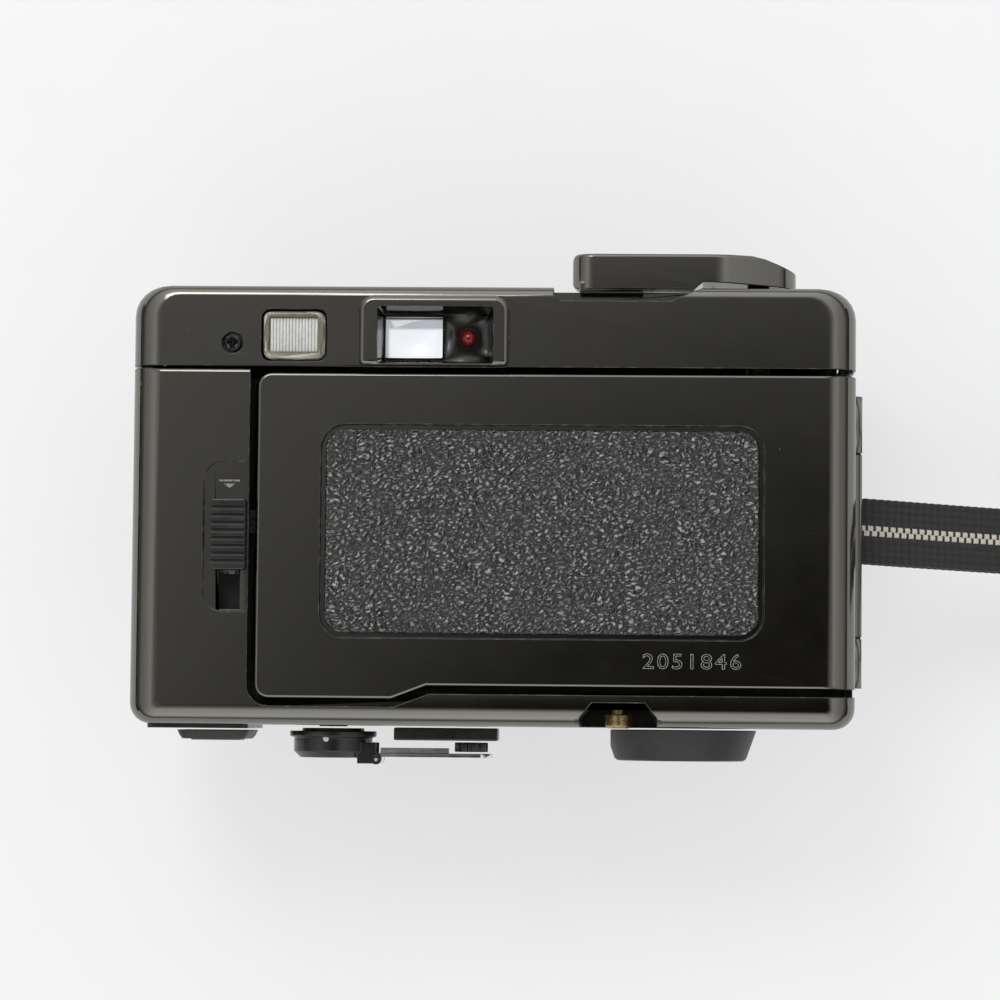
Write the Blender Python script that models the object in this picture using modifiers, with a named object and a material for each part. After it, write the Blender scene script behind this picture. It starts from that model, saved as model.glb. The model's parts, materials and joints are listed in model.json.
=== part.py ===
"""A compact 35 mm rangefinder camera with a pop-up flash, lying on its lens rim with its back up.

Sizes are millimetres. +X is the camera's right as its user holds it, +Y is towards its top cover and
+Z points out of its back. Before the last shift to the origin, X and Y are measured from the middle
of the body and Z from the table under the lens rim.
"""

import math

import bmesh
import bpy
from mathutils import Matrix, Vector

MM = 0.001
GAP = 0.3  # clearance between two pieces that touch or pass
RUNNING = 0.07  # radial clearance of a pin in its hole

# Casing
WIDTH = 121.0
HEIGHT = 73.3
FRONT = 22.0  # front face of the body above the table
DEPTH = 34.0
WALL = 1.45
SIDE_ROUND = 5.0  # edge between the back and a side
TOP_ROUND = 1.8
BOTTOM_ROUND = 3.3
TOP_CORNER = 5.0
BOTTOM_CORNER = 3.5
COVER_HEIGHT = 13.55  # height of the top cover
SCOOP_DEPTH = 2.3
SHOULDER = 0.8  # rounding of the shell's edge under the top cover

# Back door
DOOR_LEFT = -39.2
DOOR_MARGIN = 4.45  # from the underside of the body up to the door
DOOR_STEP = 2.2  # rise of the lower edge beyond the step
STEP_START = -16.4
STEP_END = -10.6
DOOR_GAP = 1.25
DOOR_PROUD = 0.5
DOOR_SHEET = 1.6
DOOR_RIM = 2.7
LEATHER_WIDTH = 72.0
LEATHER_HEIGHT = 33.9
LEATHER_CORNER = 3.3
LEATHER_GROOVE = 0.8
LEATHER_SHEET = 0.6

# Door hinge
HINGE_RADIUS = 1.4
HINGE_PIN_RADIUS = 0.6
HINGE_LENGTH = 49.0
HINGE_LOW_KNUCKLE = 8.4
HINGE_HIGH_KNUCKLE = 9.6
DOOR_FLANGE = 10.0

# Film path
GATE_WIDTH = 36.0
GATE_HEIGHT = 24.0
FILM_HEIGHT = 35.0
CASSETTE_RADIUS = 12.8
CASSETTE_LENGTH = 50.0
SPOOL_RADIUS = 6.0
SPOOL_CHAMBER = 9.3
SPROCKET_RADIUS = 4.5
SPROCKET_TEETH = 6
RAIL_HEIGHT = 0.4
PLATE_SHEET = 1.0

# Lens
LENS_X = 8.3
LENS_Y = -4.45
BARREL_RADIUS = 24.4
RING_RADIUS = 26.6
CELL_RADIUS = 14.0
BLADE_SHEET = 0.25

# Power and flash
BATTERY_RADIUS = 7.0
BATTERY_LENGTH = 50.0
FLASH_WIDTH = 19.5
FLASH_X = -45.2
FLASH_DEPTH = 15.0

# Controls
WIND_X = 44.5
WIND_Z = 41.0
HUB_RADIUS = 6.4
SHAFT_RADIUS = 1.9
LEVER_REACH = 31.5
LEVER_THICK = 5.95
TAB_LENGTH = 21.0
BUTTON_X = 24.0
BUTTON_Z = 32.0
BUTTON_RADIUS = 4.2
COUNTER_X = 34.0
COUNTER_Z = 33.5
COUNTER_RADIUS = 6.5
REWIND_X = -27.4
REWIND_Z = 37.5
DRUM_RADIUS = 6.7
CRANK_LENGTH = 16.0
KNOB_RADIUS = 2.85
KNOB_HEIGHT = 1.6
RELEASE_X = 21.2
RELEASE_Z = 47.5
RELEASE_RADIUS = 2.15
RELEASE_TRAVEL = 1.0
NOTCH_WIDTH = 10.8
NOTCH_HEIGHT = 4.1
NOTCH_SLOPE = 1.0
BOSS_X = 31.8
BOSS_RADIUS = 12.9
BOSS_HEIGHT = 5.2
SOCKET_RADIUS = 3.15

# Latch
LATCH_X = -43.8
LATCH_WIDTH = 5.9
LATCH_LENGTH = 11.8
LATCH_TRAVEL = 6.0
LATCH_TOP = 0.8

# Strap
STRAP_Y = -2.75
STRAP_Z = 38.0
STRAP_WIDTH = 11.1
STRAP_THICK = 1.1
BAR_RADIUS = 0.9
KEEPER_LENGTH = 9.0

# Places worked out from the sizes above
RIGHT = WIDTH / 2
LEFT = -RIGHT
TOP = HEIGHT / 2
BOTTOM = -TOP
BACK = FRONT + DEPTH
SEAM = TOP - COVER_HEIGHT
SHELL_TOP = SEAM - GAP
DOOR_TOP = SEAM - 1.1
DOOR_BOTTOM = BOTTOM + DOOR_MARGIN
DOOR_FACE = BACK + DOOR_PROUD
DOOR_INNER = DOOR_FACE - DOOR_SHEET
RIM_BOTTOM = DOOR_INNER - DOOR_RIM
DECK = RIM_BOTTOM - 1.6
RAIL_TOP = DECK + RAIL_HEIGHT
PLATE_BOTTOM = RAIL_TOP + GAP
HINGE_Z = DOOR_FACE - DOOR_FLANGE
NOTCH_ROOF = DOOR_BOTTOM + DOOR_STEP - DOOR_GAP + GAP
HINGE_LOW = DOOR_BOTTOM + DOOR_STEP + 0.3
HINGE_HIGH = HINGE_LOW + HINGE_LENGTH
LEATHER_X = LENS_X
LEATHER_Y = LENS_Y + 0.1
SPROCKET_X = LENS_X + GATE_WIDTH / 2 + SPROCKET_RADIUS + 1.5
DRUM_END = BOTTOM - BOSS_HEIGHT - 0.3
CRANK_AXIS_X = REWIND_X + DRUM_RADIUS + 0.9
CRANK_AXIS_Y = DRUM_END - 0.15
EAR_RADIUS = 0.95
KNOB_X = CRANK_AXIS_X + CRANK_LENGTH
ARM_TOP = CRANK_AXIS_Y + 1.0
KNOB_HIGH = ARM_TOP + GAP + KNOB_HEIGHT
LEVER_LOW = TOP + 0.35
LEVER_HIGH = LEVER_LOW + LEVER_THICK
BATTERY_X = LEFT + WALL + 1.85 + BATTERY_RADIUS
BATTERY_LOW_Z = FRONT + WALL + 0.5 + BATTERY_RADIUS
BATTERY_HIGH_Z = BATTERY_LOW_Z + 2 * BATTERY_RADIUS + GAP
BATTERY_Y = BOTTOM + WALL + 0.6
COVER_AXIS_X = LEFT + 2.7
COVER_AXIS_Y = BOTTOM - 0.6
BATTERY_DOOR_RIGHT = -40.6
EYE_X = (-19.2, -0.1)
EYE_Y = (SEAM + 0.5, SEAM + 9.9)
READY_X = -33.3
READY_Y = SEAM + 5.2
LED_X = -4.25
LED_Y = SEAM + 5.1
SCREW = (-43.6, SEAM + 3.9)
BAR_X = RIGHT - 2.6

EXTENT_X = (LEFT, RIGHT + HINGE_RADIUS)
EXTENT_Y = (CRANK_AXIS_Y - EAR_RADIUS, LEVER_HIGH)
ORIGIN = Vector((-sum(EXTENT_X) / 2, -sum(EXTENT_Y) / 2, 0.0))

# Route of the strap's centreline in X and Z: out above, the loop on the table, and back below.
STRAP_ROUTE = [
    (56.11, 38.17), (56.7, 39.35), (57.9, 39.85), (60.4, 39.4), (64.2, 38.0), (70.0, 35.0), (79.0, 30.2),
    (90.0, 25.0), (99.0, 22.0), (107.0, 21.5), (116.0, 22.6), (127.0, 24.4), (140.0, 25.6),
    (154.0, 25.3), (167.0, 23.2), (178.0, 19.4), (185.0, 14.2), (187.6, 8.4), (184.6, 3.2),
    (177.0, 0.95), (164.0, 0.75), (148.0, 0.75), (134.0, 0.85), (123.0, 2.2), (114.0, 6.6),
    (106.0, 12.6), (99.0, 17.1), (90.0, 20.2), (79.0, 25.4), (70.0, 30.2), (64.2, 33.7),
    (60.4, 35.8), (57.9, 36.15), (56.7, 36.65), (56.11, 37.83),
]
STRAP_DRIFT = -0.035  # sideways run of the strap for each millimetre that it leaves the body

PAINTS = {
    "black_paint": ((0.028, 0.026, 0.022), 0.28, 0.0),
    "black_plastic": ((0.02, 0.02, 0.02), 0.45, 0.0),
    "leather": ((0.03, 0.031, 0.032), 0.6, 0.0),
    "matt_black": ((0.015, 0.015, 0.015), 0.8, 0.0),
    "steel": ((0.45, 0.45, 0.46), 0.35, 1.0),
    "chrome": ((0.75, 0.73, 0.7), 0.15, 1.0),
    "brass": ((0.45, 0.34, 0.16), 0.35, 1.0),
    "glass": ((0.7, 0.75, 0.78), 0.05, 0.0),
    "clear_plastic": ((0.85, 0.83, 0.75), 0.15, 0.0),
    "red_plastic": ((0.35, 0.01, 0.01), 0.15, 0.0),
    "battery_jacket": ((0.12, 0.13, 0.15), 0.35, 0.0),
    "webbing": ((0.012, 0.012, 0.013), 0.85, 0.0),
}


# Scene and objects

def clear_scene():
    for obj in list(bpy.data.objects):
        bpy.data.objects.remove(obj)


def make_collection(name):
    collection = bpy.data.collections.new(name)
    bpy.context.scene.collection.children.link(collection)
    return collection


def make_paint(name):
    colour, roughness, metallic = PAINTS[name]
    paint = bpy.data.materials.new(name)
    paint.use_nodes = True
    shader = paint.node_tree.nodes["Principled BSDF"]
    shader.inputs["Base Color"].default_value = (*colour, 1.0)
    shader.inputs["Roughness"].default_value = roughness
    shader.inputs["Metallic"].default_value = metallic
    return paint


clear_scene()
PARTS = make_collection("rangefinder_camera")
CUTTERS = make_collection("cutters")
PAINT = {name: make_paint(name) for name in PAINTS}


def make_empty(name, place, parent):
    empty = bpy.data.objects.new(name, None)
    empty.location = place
    empty.parent = parent
    PARTS.objects.link(empty)
    return empty


FRAME = make_empty("frame", ORIGIN * MM, None)
AXES = {"casing": (FRAME, Vector())}


def moving_body(name, x, y, z):
    """An empty on the joint's axis, which holds the pieces that move together."""
    AXES[name] = (make_empty(name + "_axis", Vector((x, y, z)) * MM, FRAME), Vector((x, y, z)))


def attach(obj, body):
    empty, place = AXES[body]
    obj.parent = empty
    obj.matrix_parent_inverse = Matrix.Translation(-place * MM)


def part(name, mesh, paint, body="casing"):
    obj = bpy.data.objects.new(name, mesh)
    mesh.materials.append(PAINT[paint])
    mesh.shade_smooth()
    mesh.set_sharp_from_angle(angle=math.radians(35))
    PARTS.objects.link(obj)
    attach(obj, body)
    return obj


def combine(target, operation, shapes):
    for mesh in shapes:
        helper = bpy.data.objects.new(f"{target.name}_{operation.lower()}_{len(target.modifiers)}", mesh)
        helper.hide_render = True
        helper.display_type = "WIRE"
        helper.parent = FRAME
        CUTTERS.objects.link(helper)
        modifier = target.modifiers.new(helper.name, "BOOLEAN")
        modifier.operation = operation
        modifier.object = helper
        modifier.solver = "EXACT"


def cut(target, *shapes):
    combine(target, "DIFFERENCE", shapes)


def fuse(target, *shapes):
    combine(target, "UNION", shapes)


def keep_inside(target, *shapes):
    combine(target, "INTERSECT", shapes)


# Shapes

def to_mesh(bm):
    bmesh.ops.recalc_face_normals(bm, faces=bm.faces)
    mesh = bpy.data.meshes.new("shape")
    bm.to_mesh(mesh)
    bm.free()
    return mesh


def along(u, v, w, axis):
    """The point at u, v across an axis and w along it."""
    return {"X": (w, u, v), "Y": (u, w, v), "Z": (u, v, w)}[axis]


def stacked(rings):
    """A solid through rings of equal point counts, closed by a flat face at each end."""
    bm = bmesh.new()
    layers = [[bm.verts.new(Vector(point) * MM) for point in ring] for ring in rings]
    count = len(rings[0])
    for low, high in zip(layers, layers[1:]):
        for i in range(count):
            j = (i + 1) % count
            bm.faces.new((low[i], low[j], high[j], high[i]))
    bm.faces.new(layers[0][::-1])
    bm.faces.new(layers[-1])
    return to_mesh(bm)


def block(x, y, z, round_edges=0.0, segments=3):
    """A box between two values on each axis."""
    bm = bmesh.new()
    size = [high - low for low, high in (x, y, z)]
    middle = [(high + low) / 2 for low, high in (x, y, z)]
    place = Matrix.Translation(Vector(middle) * MM) @ Matrix.Diagonal((*[s * MM for s in size], 1.0))
    bmesh.ops.create_cube(bm, size=1.0, matrix=place)
    if round_edges:
        bmesh.ops.bevel(
            bm, geom=bm.edges[:], offset=round_edges * MM, segments=segments, profile=0.5,
            affect="EDGES", clamp_overlap=True,
        )
    return to_mesh(bm)


def rod(centre, radius, span, axis, sides=32, end_radius=None):
    """A cylinder, or a cone where the far end has its own radius."""
    bm = bmesh.new()
    far = radius if end_radius is None else end_radius
    length = span[1] - span[0]
    turn = {"X": Matrix.Rotation(math.pi / 2, 4, "Y"), "Y": Matrix.Rotation(-math.pi / 2, 4, "X")}
    middle = Vector(along(*centre, sum(span) / 2, axis)) * MM
    bmesh.ops.create_cone(
        bm, cap_ends=True, cap_tris=False, segments=sides, radius1=radius * MM, radius2=far * MM,
        depth=length * MM, matrix=Matrix.Translation(middle) @ turn.get(axis, Matrix()),
    )
    return to_mesh(bm)


def prism(outline, span, axis="Z"):
    return stacked([[along(u, v, w, axis) for u, v in outline] for w in span])


def inset(outline, distance):
    """The outline moved inwards, which runs counter-clockwise."""
    moved = []
    for i, point in enumerate(outline):
        here = Vector(point)
        before = (here - Vector(outline[i - 1])).normalized()
        after = (Vector(outline[(i + 1) % len(outline)]) - here).normalized()
        normal = Vector((-before.y - after.y, before.x + after.x)).normalized()
        reach = distance / max(normal.dot(Vector((-before.y, before.x))), 0.3)
        moved.append(tuple(here + normal * reach))
    return moved


def soft_prism(outline, span, radius, axis="Z", steps=4, both=False):
    """A prism whose far edge is rounded, and its near edge too where both is set."""
    low, high = span
    rounds = [
        (high - radius * (1 - math.cos(a)), radius * (1 - math.sin(a)))
        for a in (math.pi / 2 * (steps - i) / steps for i in range(steps + 1))
    ]
    levels = [(low, 0.0)] + rounds
    if both:
        levels = [(low + high - w, d) for w, d in reversed(rounds)] + rounds
    return stacked([[along(u, v, w, axis) for u, v in inset(outline, d)] for w, d in levels])


def arc(centre, radius, start, end, steps=6):
    return [
        (
            centre[0] + radius * math.cos(math.radians(start + (end - start) * i / steps)),
            centre[1] + radius * math.sin(math.radians(start + (end - start) * i / steps)),
        )
        for i in range(steps + 1)
    ]


def rounded(x, y, low_radius, high_radius=None, steps=6):
    """A rectangle with round corners, counter-clockwise from its lower left one."""
    high = low_radius if high_radius is None else high_radius
    return (
        arc((x[0] + low_radius, y[0] + low_radius), low_radius, 180, 270, steps)
        + arc((x[1] - low_radius, y[0] + low_radius), low_radius, 270, 360, steps)
        + arc((x[1] - high, y[1] - high), high, 0, 90, steps)
        + arc((x[0] + high, y[1] - high), high, 90, 180, steps)
    )


def centred(middle, size):
    return (middle - size / 2, middle + size / 2)


def turned(name, profile, centre, axis, paint, body="casing", sides=28):
    """A profile of radius and height, swept round the axis; heights count along that axis."""
    area = sum(a[0] * b[1] - b[0] * a[1] for a, b in zip(profile, profile[1:] + profile[:1]))
    points = profile if area < 0 else profile[::-1]
    if any(r == 0 for r, _ in points):
        while points[0][0] > 0 or points[-1][0] > 0:
            points = points[1:] + points[:1]
    bm = bmesh.new()
    verts = [bm.verts.new((r * MM, 0.0, h * MM)) for r, h in points]
    for a, b in zip(verts, verts[1:]):
        bm.edges.new((a, b))
    if points[0][0] > 0:
        bm.edges.new((verts[-1], verts[0]))
    mesh = bpy.data.meshes.new("profile")
    bm.to_mesh(mesh)
    bm.free()
    obj = bpy.data.objects.new(name, mesh)
    mesh.materials.append(PAINT[paint])
    obj.location = Vector(along(*centre, 0.0, axis)) * MM
    obj.rotation_euler = {"X": (0, math.pi / 2, 0), "Y": (-math.pi / 2, 0, 0), "Z": (0, 0, 0)}[axis]
    PARTS.objects.link(obj)
    attach(obj, body)
    screw = obj.modifiers.new("turn", "SCREW")
    screw.axis = "Z"
    screw.steps = sides
    screw.render_steps = sides
    screw.use_merge_vertices = True
    screw.merge_threshold = 0.00001
    return obj


def casing_solid(back):
    """The whole outer form of the body: each side has its own rounding at the front and the back."""
    steps = 8
    depths = [SIDE_ROUND * (1 - math.cos(math.pi / 2 * i / steps)) for i in range(steps + 1)]

    def pull(radius, depth):
        return radius - math.sqrt(radius**2 - (radius - depth) ** 2) if depth < radius else 0.0

    def ring(depth, z):
        side, top, bottom = (pull(r, depth) for r in (SIDE_ROUND, TOP_ROUND, BOTTOM_ROUND))
        outline = rounded(
            (LEFT + side, RIGHT - side), (BOTTOM + bottom, TOP - top),
            max(BOTTOM_CORNER - bottom, 1.2), max(TOP_CORNER - top, 1.2),
        )
        return [(x, y, z) for x, y in outline]

    front_rings = [ring(d, FRONT + d) for d in depths]
    back_rings = [ring(d, back - d) for d in reversed(depths)]
    return stacked(front_rings + back_rings)


def door_outline(grow, right, top):
    """The door seen from behind, with its step in the lower edge; grow moves left and lower edges out."""
    left = DOOR_LEFT - grow
    low = DOOR_BOTTOM - grow
    high = low + DOOR_STEP
    corner = 2.3 + grow
    return (
        arc((left + corner, low + corner), corner, 180, 270)
        + [(STEP_START + grow / 3, low), (STEP_END + grow / 3, high), (right, high), (right, top)]
        + arc((left + corner, top - corner), corner, 90, 180)
    )


# Casing

def make_body_shell():
    shell = part("body_shell", casing_solid(BACK), "black_paint")
    beyond = (-90.0, 90.0)
    inside = rounded((LEFT + WALL, RIGHT - WALL), (BOTTOM + WALL, TOP), BOTTOM_CORNER - WALL, TOP_CORNER)
    notch_x = centred(RELEASE_X, NOTCH_WIDTH)
    notch_top = BOTTOM + NOTCH_HEIGHT
    notch = [
        (notch_x[0] - NOTCH_SLOPE, BOTTOM - 5), (notch_x[1] + NOTCH_SLOPE, BOTTOM - 5),
        (notch_x[1] + NOTCH_SLOPE, BOTTOM + 1.6), (notch_x[1] - NOTCH_SLOPE, notch_top),
        (notch_x[0] + NOTCH_SLOPE, notch_top), (notch_x[0] - NOTCH_SLOPE, BOTTOM + 1.6),
    ]
    pocket_y = centred(STRAP_Y, STRAP_WIDTH + 2.4)
    cut(
        shell,
        block(beyond, (SHELL_TOP, 60), (0, 90)),
        prism(inside, (FRONT + WALL, BACK - WALL)),
        prism(door_outline(DOOR_GAP, RIGHT + 10, TOP), (HINGE_Z - HINGE_RADIUS - GAP, BACK + 5)),
    )
    fuse(
        shell,
        block(
            (notch_x[0] - 1.6, notch_x[1] + 1.6), (BOTTOM + WALL / 2, NOTCH_ROOF - 0.5),
            (RELEASE_Z - 6.6, BACK - WALL / 2),
        ),
    )
    latch_low = LATCH_TOP - LATCH_LENGTH - LATCH_TRAVEL
    shoulder = [(SHELL_TOP + 1, BACK - SHOULDER), (SHELL_TOP + 1, BACK + 1), (SHELL_TOP - SHOULDER, BACK + 1)]
    shoulder += arc((SHELL_TOP - SHOULDER, BACK - SHOULDER), SHOULDER, 90, 0, 4)
    cut(
        shell,
        prism(shoulder, (LEFT - 5, DOOR_LEFT + 5), "X"),
        prism(notch, (RELEASE_Z - 5.4, BACK + 5)),
        rod((RELEASE_X, RELEASE_Z), 1.3, (BOTTOM, DOOR_BOTTOM + DOOR_STEP), "Y", 24),
        # lens opening, strap pocket, rewind, battery door and latch
        rod((LENS_X, LENS_Y), 12.5, (FRONT - 3, FRONT + 5), "Z", 48),
        prism(rounded(pocket_y, centred(STRAP_Z, 7.6), 2.0), (RIGHT - 5, RIGHT + 3), "X"),
        rod((REWIND_X, REWIND_Z), 3.2, (BOTTOM - 3, BOTTOM + 5), "Y", 24),
        block(
            (COVER_AXIS_X - GAP, BATTERY_DOOR_RIGHT + GAP), (BOTTOM - 3, BOTTOM + 5), (FRONT + 3.3, BACK - 3.3),
        ),
        soft_prism(
            rounded((LATCH_X - 4.2, DOOR_LEFT + 4.5), (latch_low - 0.9, LATCH_TOP + 6.3), 3.2), (BACK - 0.4, BACK + 4), 0.1
        ),
        block(
            (LATCH_X - 1.9, LATCH_X + 1.9), (latch_low - 0.5, LATCH_TOP - 0.6), (BACK - 4, BACK + 1),
        ),
    )


def make_top_cover():
    cover = part("top_cover", casing_solid(BACK), "black_paint")
    beyond = (-90.0, 90.0)
    inside = rounded(
        (LEFT + WALL, RIGHT - WALL), (0, TOP - WALL), 2.0, TOP_CORNER - WALL
    )
    scoop_x = (WIND_X - LEVER_REACH - 3.0, WIND_X - 10.0)
    scoop_z = WIND_Z + 6.5
    floor = TOP - SCOOP_DEPTH
    cut(cover, block(beyond, (-60, SEAM), (0, 90)), prism(inside, (FRONT + WALL, BACK - WALL)))
    bump = rounded(
        (EYE_X[0] - 3.2, EYE_X[1] + 2.7), (SEAM + 0.05, EYE_Y[1] + 1.9), 1.0, 2.5
    )
    fuse(
        cover,
        block(
            (scoop_x[0] - 1.5, scoop_x[1] + 1.5), (floor - 1.5, TOP - 0.7), (scoop_z - 1.5, BACK - 0.7)
        ),
        soft_prism(bump, (BACK - 3.0, BACK + 1.6), 0.9),
    )
    scoop = [
        (scoop_x[0], TOP + 5), (scoop_x[0], floor + 1.0), (scoop_x[0] + 1.0, floor),
        (scoop_x[1] - 5.0, floor), (scoop_x[1], TOP - 0.1), (scoop_x[1], TOP + 5),
    ]
    flash_x = centred(FLASH_X, FLASH_WIDTH + 2 * GAP)
    ready = rounded(centred(READY_X, 11.0), centred(READY_Y, 8.7), 1.5)
    cut(
        cover,
        prism(scoop, (scoop_z, BACK + 5)),
        stacked([
            [(x, y, z) for x, y in rounded((EYE_X[0] + d, EYE_X[1] - d), (EYE_Y[0] + d, EYE_Y[1] - d), 0.5)]
            for z, d in ((BACK - 3.6, 0.9), (BACK + 1.7, -0.1))
        ]),
        prism(ready, (BACK - 4, BACK + 2)),
        block(flash_x, (SEAM + 1.0, TOP + 4), (FRONT - 2, FRONT + FLASH_DEPTH + 0.7)),
        rod((WIND_X, WIND_Z), SHAFT_RADIUS + 0.5, (TOP - 4, TOP + 3), "Y", 32),
        rod((BUTTON_X, BUTTON_Z), BUTTON_RADIUS + GAP, (TOP - 4, TOP + 3), "Y", 32),
        rod((COUNTER_X, COUNTER_Z - 4.4), 3.4, (TOP - 4, TOP + 3), "Y", 32),
        prism(rounded((-21.0, -6.0), (SEAM + 1.4, SEAM + 9.9), 0.8), (FRONT - 2, FRONT + 3)),
        prism(rounded((12.0, 19.0), (SEAM + 3.4, SEAM + 8.6), 0.8), (FRONT - 2, FRONT + 3)),
        rod(SCREW, 1.75, (BACK - 0.9, BACK + 2), "Z", 24),
        rod(SCREW, 0.9, (BACK - 4, BACK + 2), "Z", 24),
    )


def make_chassis():
    """The casting that holds the film: cassette chamber, film gate, sprocket well and take-up chamber."""
    x = (BATTERY_X + BATTERY_RADIUS + 0.7, RIGHT - 5.3)
    y = (BOTTOM + WALL + 1.3, SHELL_TOP - 1.1)
    chassis = part("chassis", block(x, y, (FRONT + WALL + 1.0, DECK)), "matt_black")
    film = centred(LENS_Y, FILM_HEIGHT)
    gate_x = centred(LENS_X, GATE_WIDTH)
    gate_y = centred(LENS_Y, GATE_HEIGHT)
    cassette_y = centred(LENS_Y, CASSETTE_LENGTH)
    rails = [
        block((gate_x[0] - 7, gate_x[1] + 1.2), (edge, edge + 1.6), (DECK - 1, RAIL_TOP))
        for edge in (gate_y[0] - 4.0, gate_y[1] + 2.4)
    ]
    fuse(chassis, *rails)
    chamber_z = DECK - 0.3 - CASSETTE_RADIUS
    spool_y = (film[0] - 4.2, film[1] + 4.2)
    cut(
        chassis,
        rod((REWIND_X, chamber_z), CASSETTE_RADIUS, cassette_y, "Y", 36),
        block(centred(REWIND_X, 2 * CASSETTE_RADIUS), cassette_y, (chamber_z, DECK + 3)),
        rod((WIND_X, WIND_Z), SPOOL_CHAMBER, spool_y, "Y", 32),
        block(centred(WIND_X, 2 * SPOOL_CHAMBER), spool_y, (WIND_Z, DECK + 3)),
        rod((SPROCKET_X, DECK - 5.2), SPROCKET_RADIUS + 0.9, (film[0] - 1, film[1] + 1), "Y", 32),
        block(
            centred(SPROCKET_X, 2 * SPROCKET_RADIUS + 1.8), (film[0] - 1, film[1] + 1),
            (DECK - 5.2, DECK + 3),
        ),
        stacked([
            [(a, b, FRONT) for a, b in rounded(centred(LENS_X, 23.0), centred(LENS_Y, 19.0), 1.0, steps=3)],
            [(a, b, DECK + 1) for a, b in rounded(gate_x, gate_y, 1.0, steps=3)],
        ]),
        rod((REWIND_X, REWIND_Z), 2.9, (y[0] - 3, cassette_y[0] + 3), "Y", 24),
        rod((WIND_X, WIND_Z), SHAFT_RADIUS + 0.4, (spool_y[1] - 2, y[1] + 3), "Y", 24),
        rod((SPROCKET_X, DECK - 5.2), 1.3, (y[0] + 1, y[1] + 3), "Y", 24),
        block(
            centred(RELEASE_X, NOTCH_WIDTH + 3.8), (y[0] - 3, NOTCH_ROOF),
            (RELEASE_Z - 7.4, DECK + 3),
        ),
    )


def make_back_door():
    moving_body("door", RIGHT, (HINGE_LOW + HINGE_HIGH) / 2, HINGE_Z)
    door = part("back_door", casing_solid(DOOR_FACE), "black_paint", "door")
    outer = door_outline(0.0, RIGHT + 6, DOOR_TOP)
    hollow = door_outline(-1.3, RIGHT - 1.5, DOOR_TOP - 1.3)
    low_outer = door_outline(1.0, RIGHT - 2.2, DOOR_TOP + 3)
    keep_inside(door, soft_prism(outer, (HINGE_Z + 0.2, DOOR_FACE), 0.55))
    recess = rounded(
        centred(LEATHER_X, LEATHER_WIDTH + 2 * LEATHER_GROOVE),
        centred(LEATHER_Y, LEATHER_HEIGHT + 2 * LEATHER_GROOVE), LEATHER_CORNER + LEATHER_GROOVE,
    )
    cut(
        door,
        prism(hollow, (FRONT, DOOR_INNER)),
        prism(low_outer, (FRONT, RIM_BOTTOM)),
        prism(recess, (DOOR_FACE - LEATHER_SHEET - GAP, DOOR_FACE + 3)),
        block((RIGHT - 8, RIGHT + 3), (DOOR_TOP - 0.01, TOP), (FRONT, BACK + 3)),
        rod((RIGHT, HINGE_Z), HINGE_RADIUS + GAP, (HINGE_LOW - 5, HINGE_HIGH + 5), "Y", 32),
    )
    middle = (HINGE_LOW + HINGE_LOW_KNUCKLE + GAP / 2, HINGE_HIGH - HINGE_HIGH_KNUCKLE - GAP / 2)
    fuse(
        door,
        rod((RIGHT, HINGE_Z), HINGE_RADIUS, middle, "Y", 32),
        block((RIGHT - 1.05, RIGHT - 0.1), middle, (HINGE_Z, HINGE_Z + 2.6)),
    )
    cut(door, rod((RIGHT, HINGE_Z), HINGE_PIN_RADIUS + RUNNING, (HINGE_LOW - 5, HINGE_HIGH + 5), "Y", 24))
    leather = rounded(centred(LEATHER_X, LEATHER_WIDTH), centred(LEATHER_Y, LEATHER_HEIGHT), LEATHER_CORNER)
    part("door_leather", soft_prism(leather, (DOOR_FACE - LEATHER_SHEET, DOOR_FACE), 0.2), "leather", "door")
    make_pressure_plate()


def make_pressure_plate():
    plate_y = centred(LENS_Y, FILM_HEIGHT - 1.0)
    plate_x = (LENS_X - GATE_WIDTH / 2 - 7.5, LENS_X + GATE_WIDTH / 2 + 0.8)
    top = PLATE_BOTTOM + PLATE_SHEET
    moving_body("plate", sum(plate_x) / 2, LENS_Y, top)
    part("pressure_plate", soft_prism(rounded(plate_x, plate_y, 2.0), (PLATE_BOTTOM, top), 0.3),
         "matt_black", "plate")
    # a bowed leaf between the plate and the door
    low, high, half = top + 0.8, DOOR_INNER - GAP, 15.0
    middle = sum(plate_x) / 2
    bow = [(middle + half * t, low + (high - 0.3 - low) * (1 - t * t)) for t in (i / 8 for i in range(-8, 9))]
    leaf = bow + [(u, w + 0.3) for u, w in reversed(bow)]
    part("pressure_spring", prism(leaf, centred(LENS_Y, 9.0), "Y"), "steel", "door")


def make_hinge():
    leaf = part(
        "hinge_leaf",
        block((RIGHT + GAP, RIGHT + HINGE_RADIUS - 0.1), (HINGE_LOW, HINGE_HIGH),
              (HINGE_Z - 5.2, HINGE_Z - HINGE_RADIUS - GAP)),
        "black_paint",
    )
    spans = (
        (HINGE_LOW, HINGE_LOW + HINGE_LOW_KNUCKLE - GAP / 2),
        (HINGE_HIGH - HINGE_HIGH_KNUCKLE + GAP / 2, HINGE_HIGH),
    )
    for span in spans:
        fuse(
            leaf,
            rod((RIGHT, HINGE_Z), HINGE_RADIUS, span, "Y", 32),
            block((RIGHT + GAP, RIGHT + HINGE_RADIUS - 0.15), span, (HINGE_Z - 3.0, HINGE_Z - 0.2)),
        )
    cut(leaf, rod((RIGHT, HINGE_Z), HINGE_PIN_RADIUS + RUNNING, (HINGE_LOW - 5, HINGE_HIGH + 5), "Y", 24))
    part("hinge_pin", rod((RIGHT, HINGE_Z), HINGE_PIN_RADIUS, (HINGE_LOW, HINGE_HIGH), "Y", 24), "steel")


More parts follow.
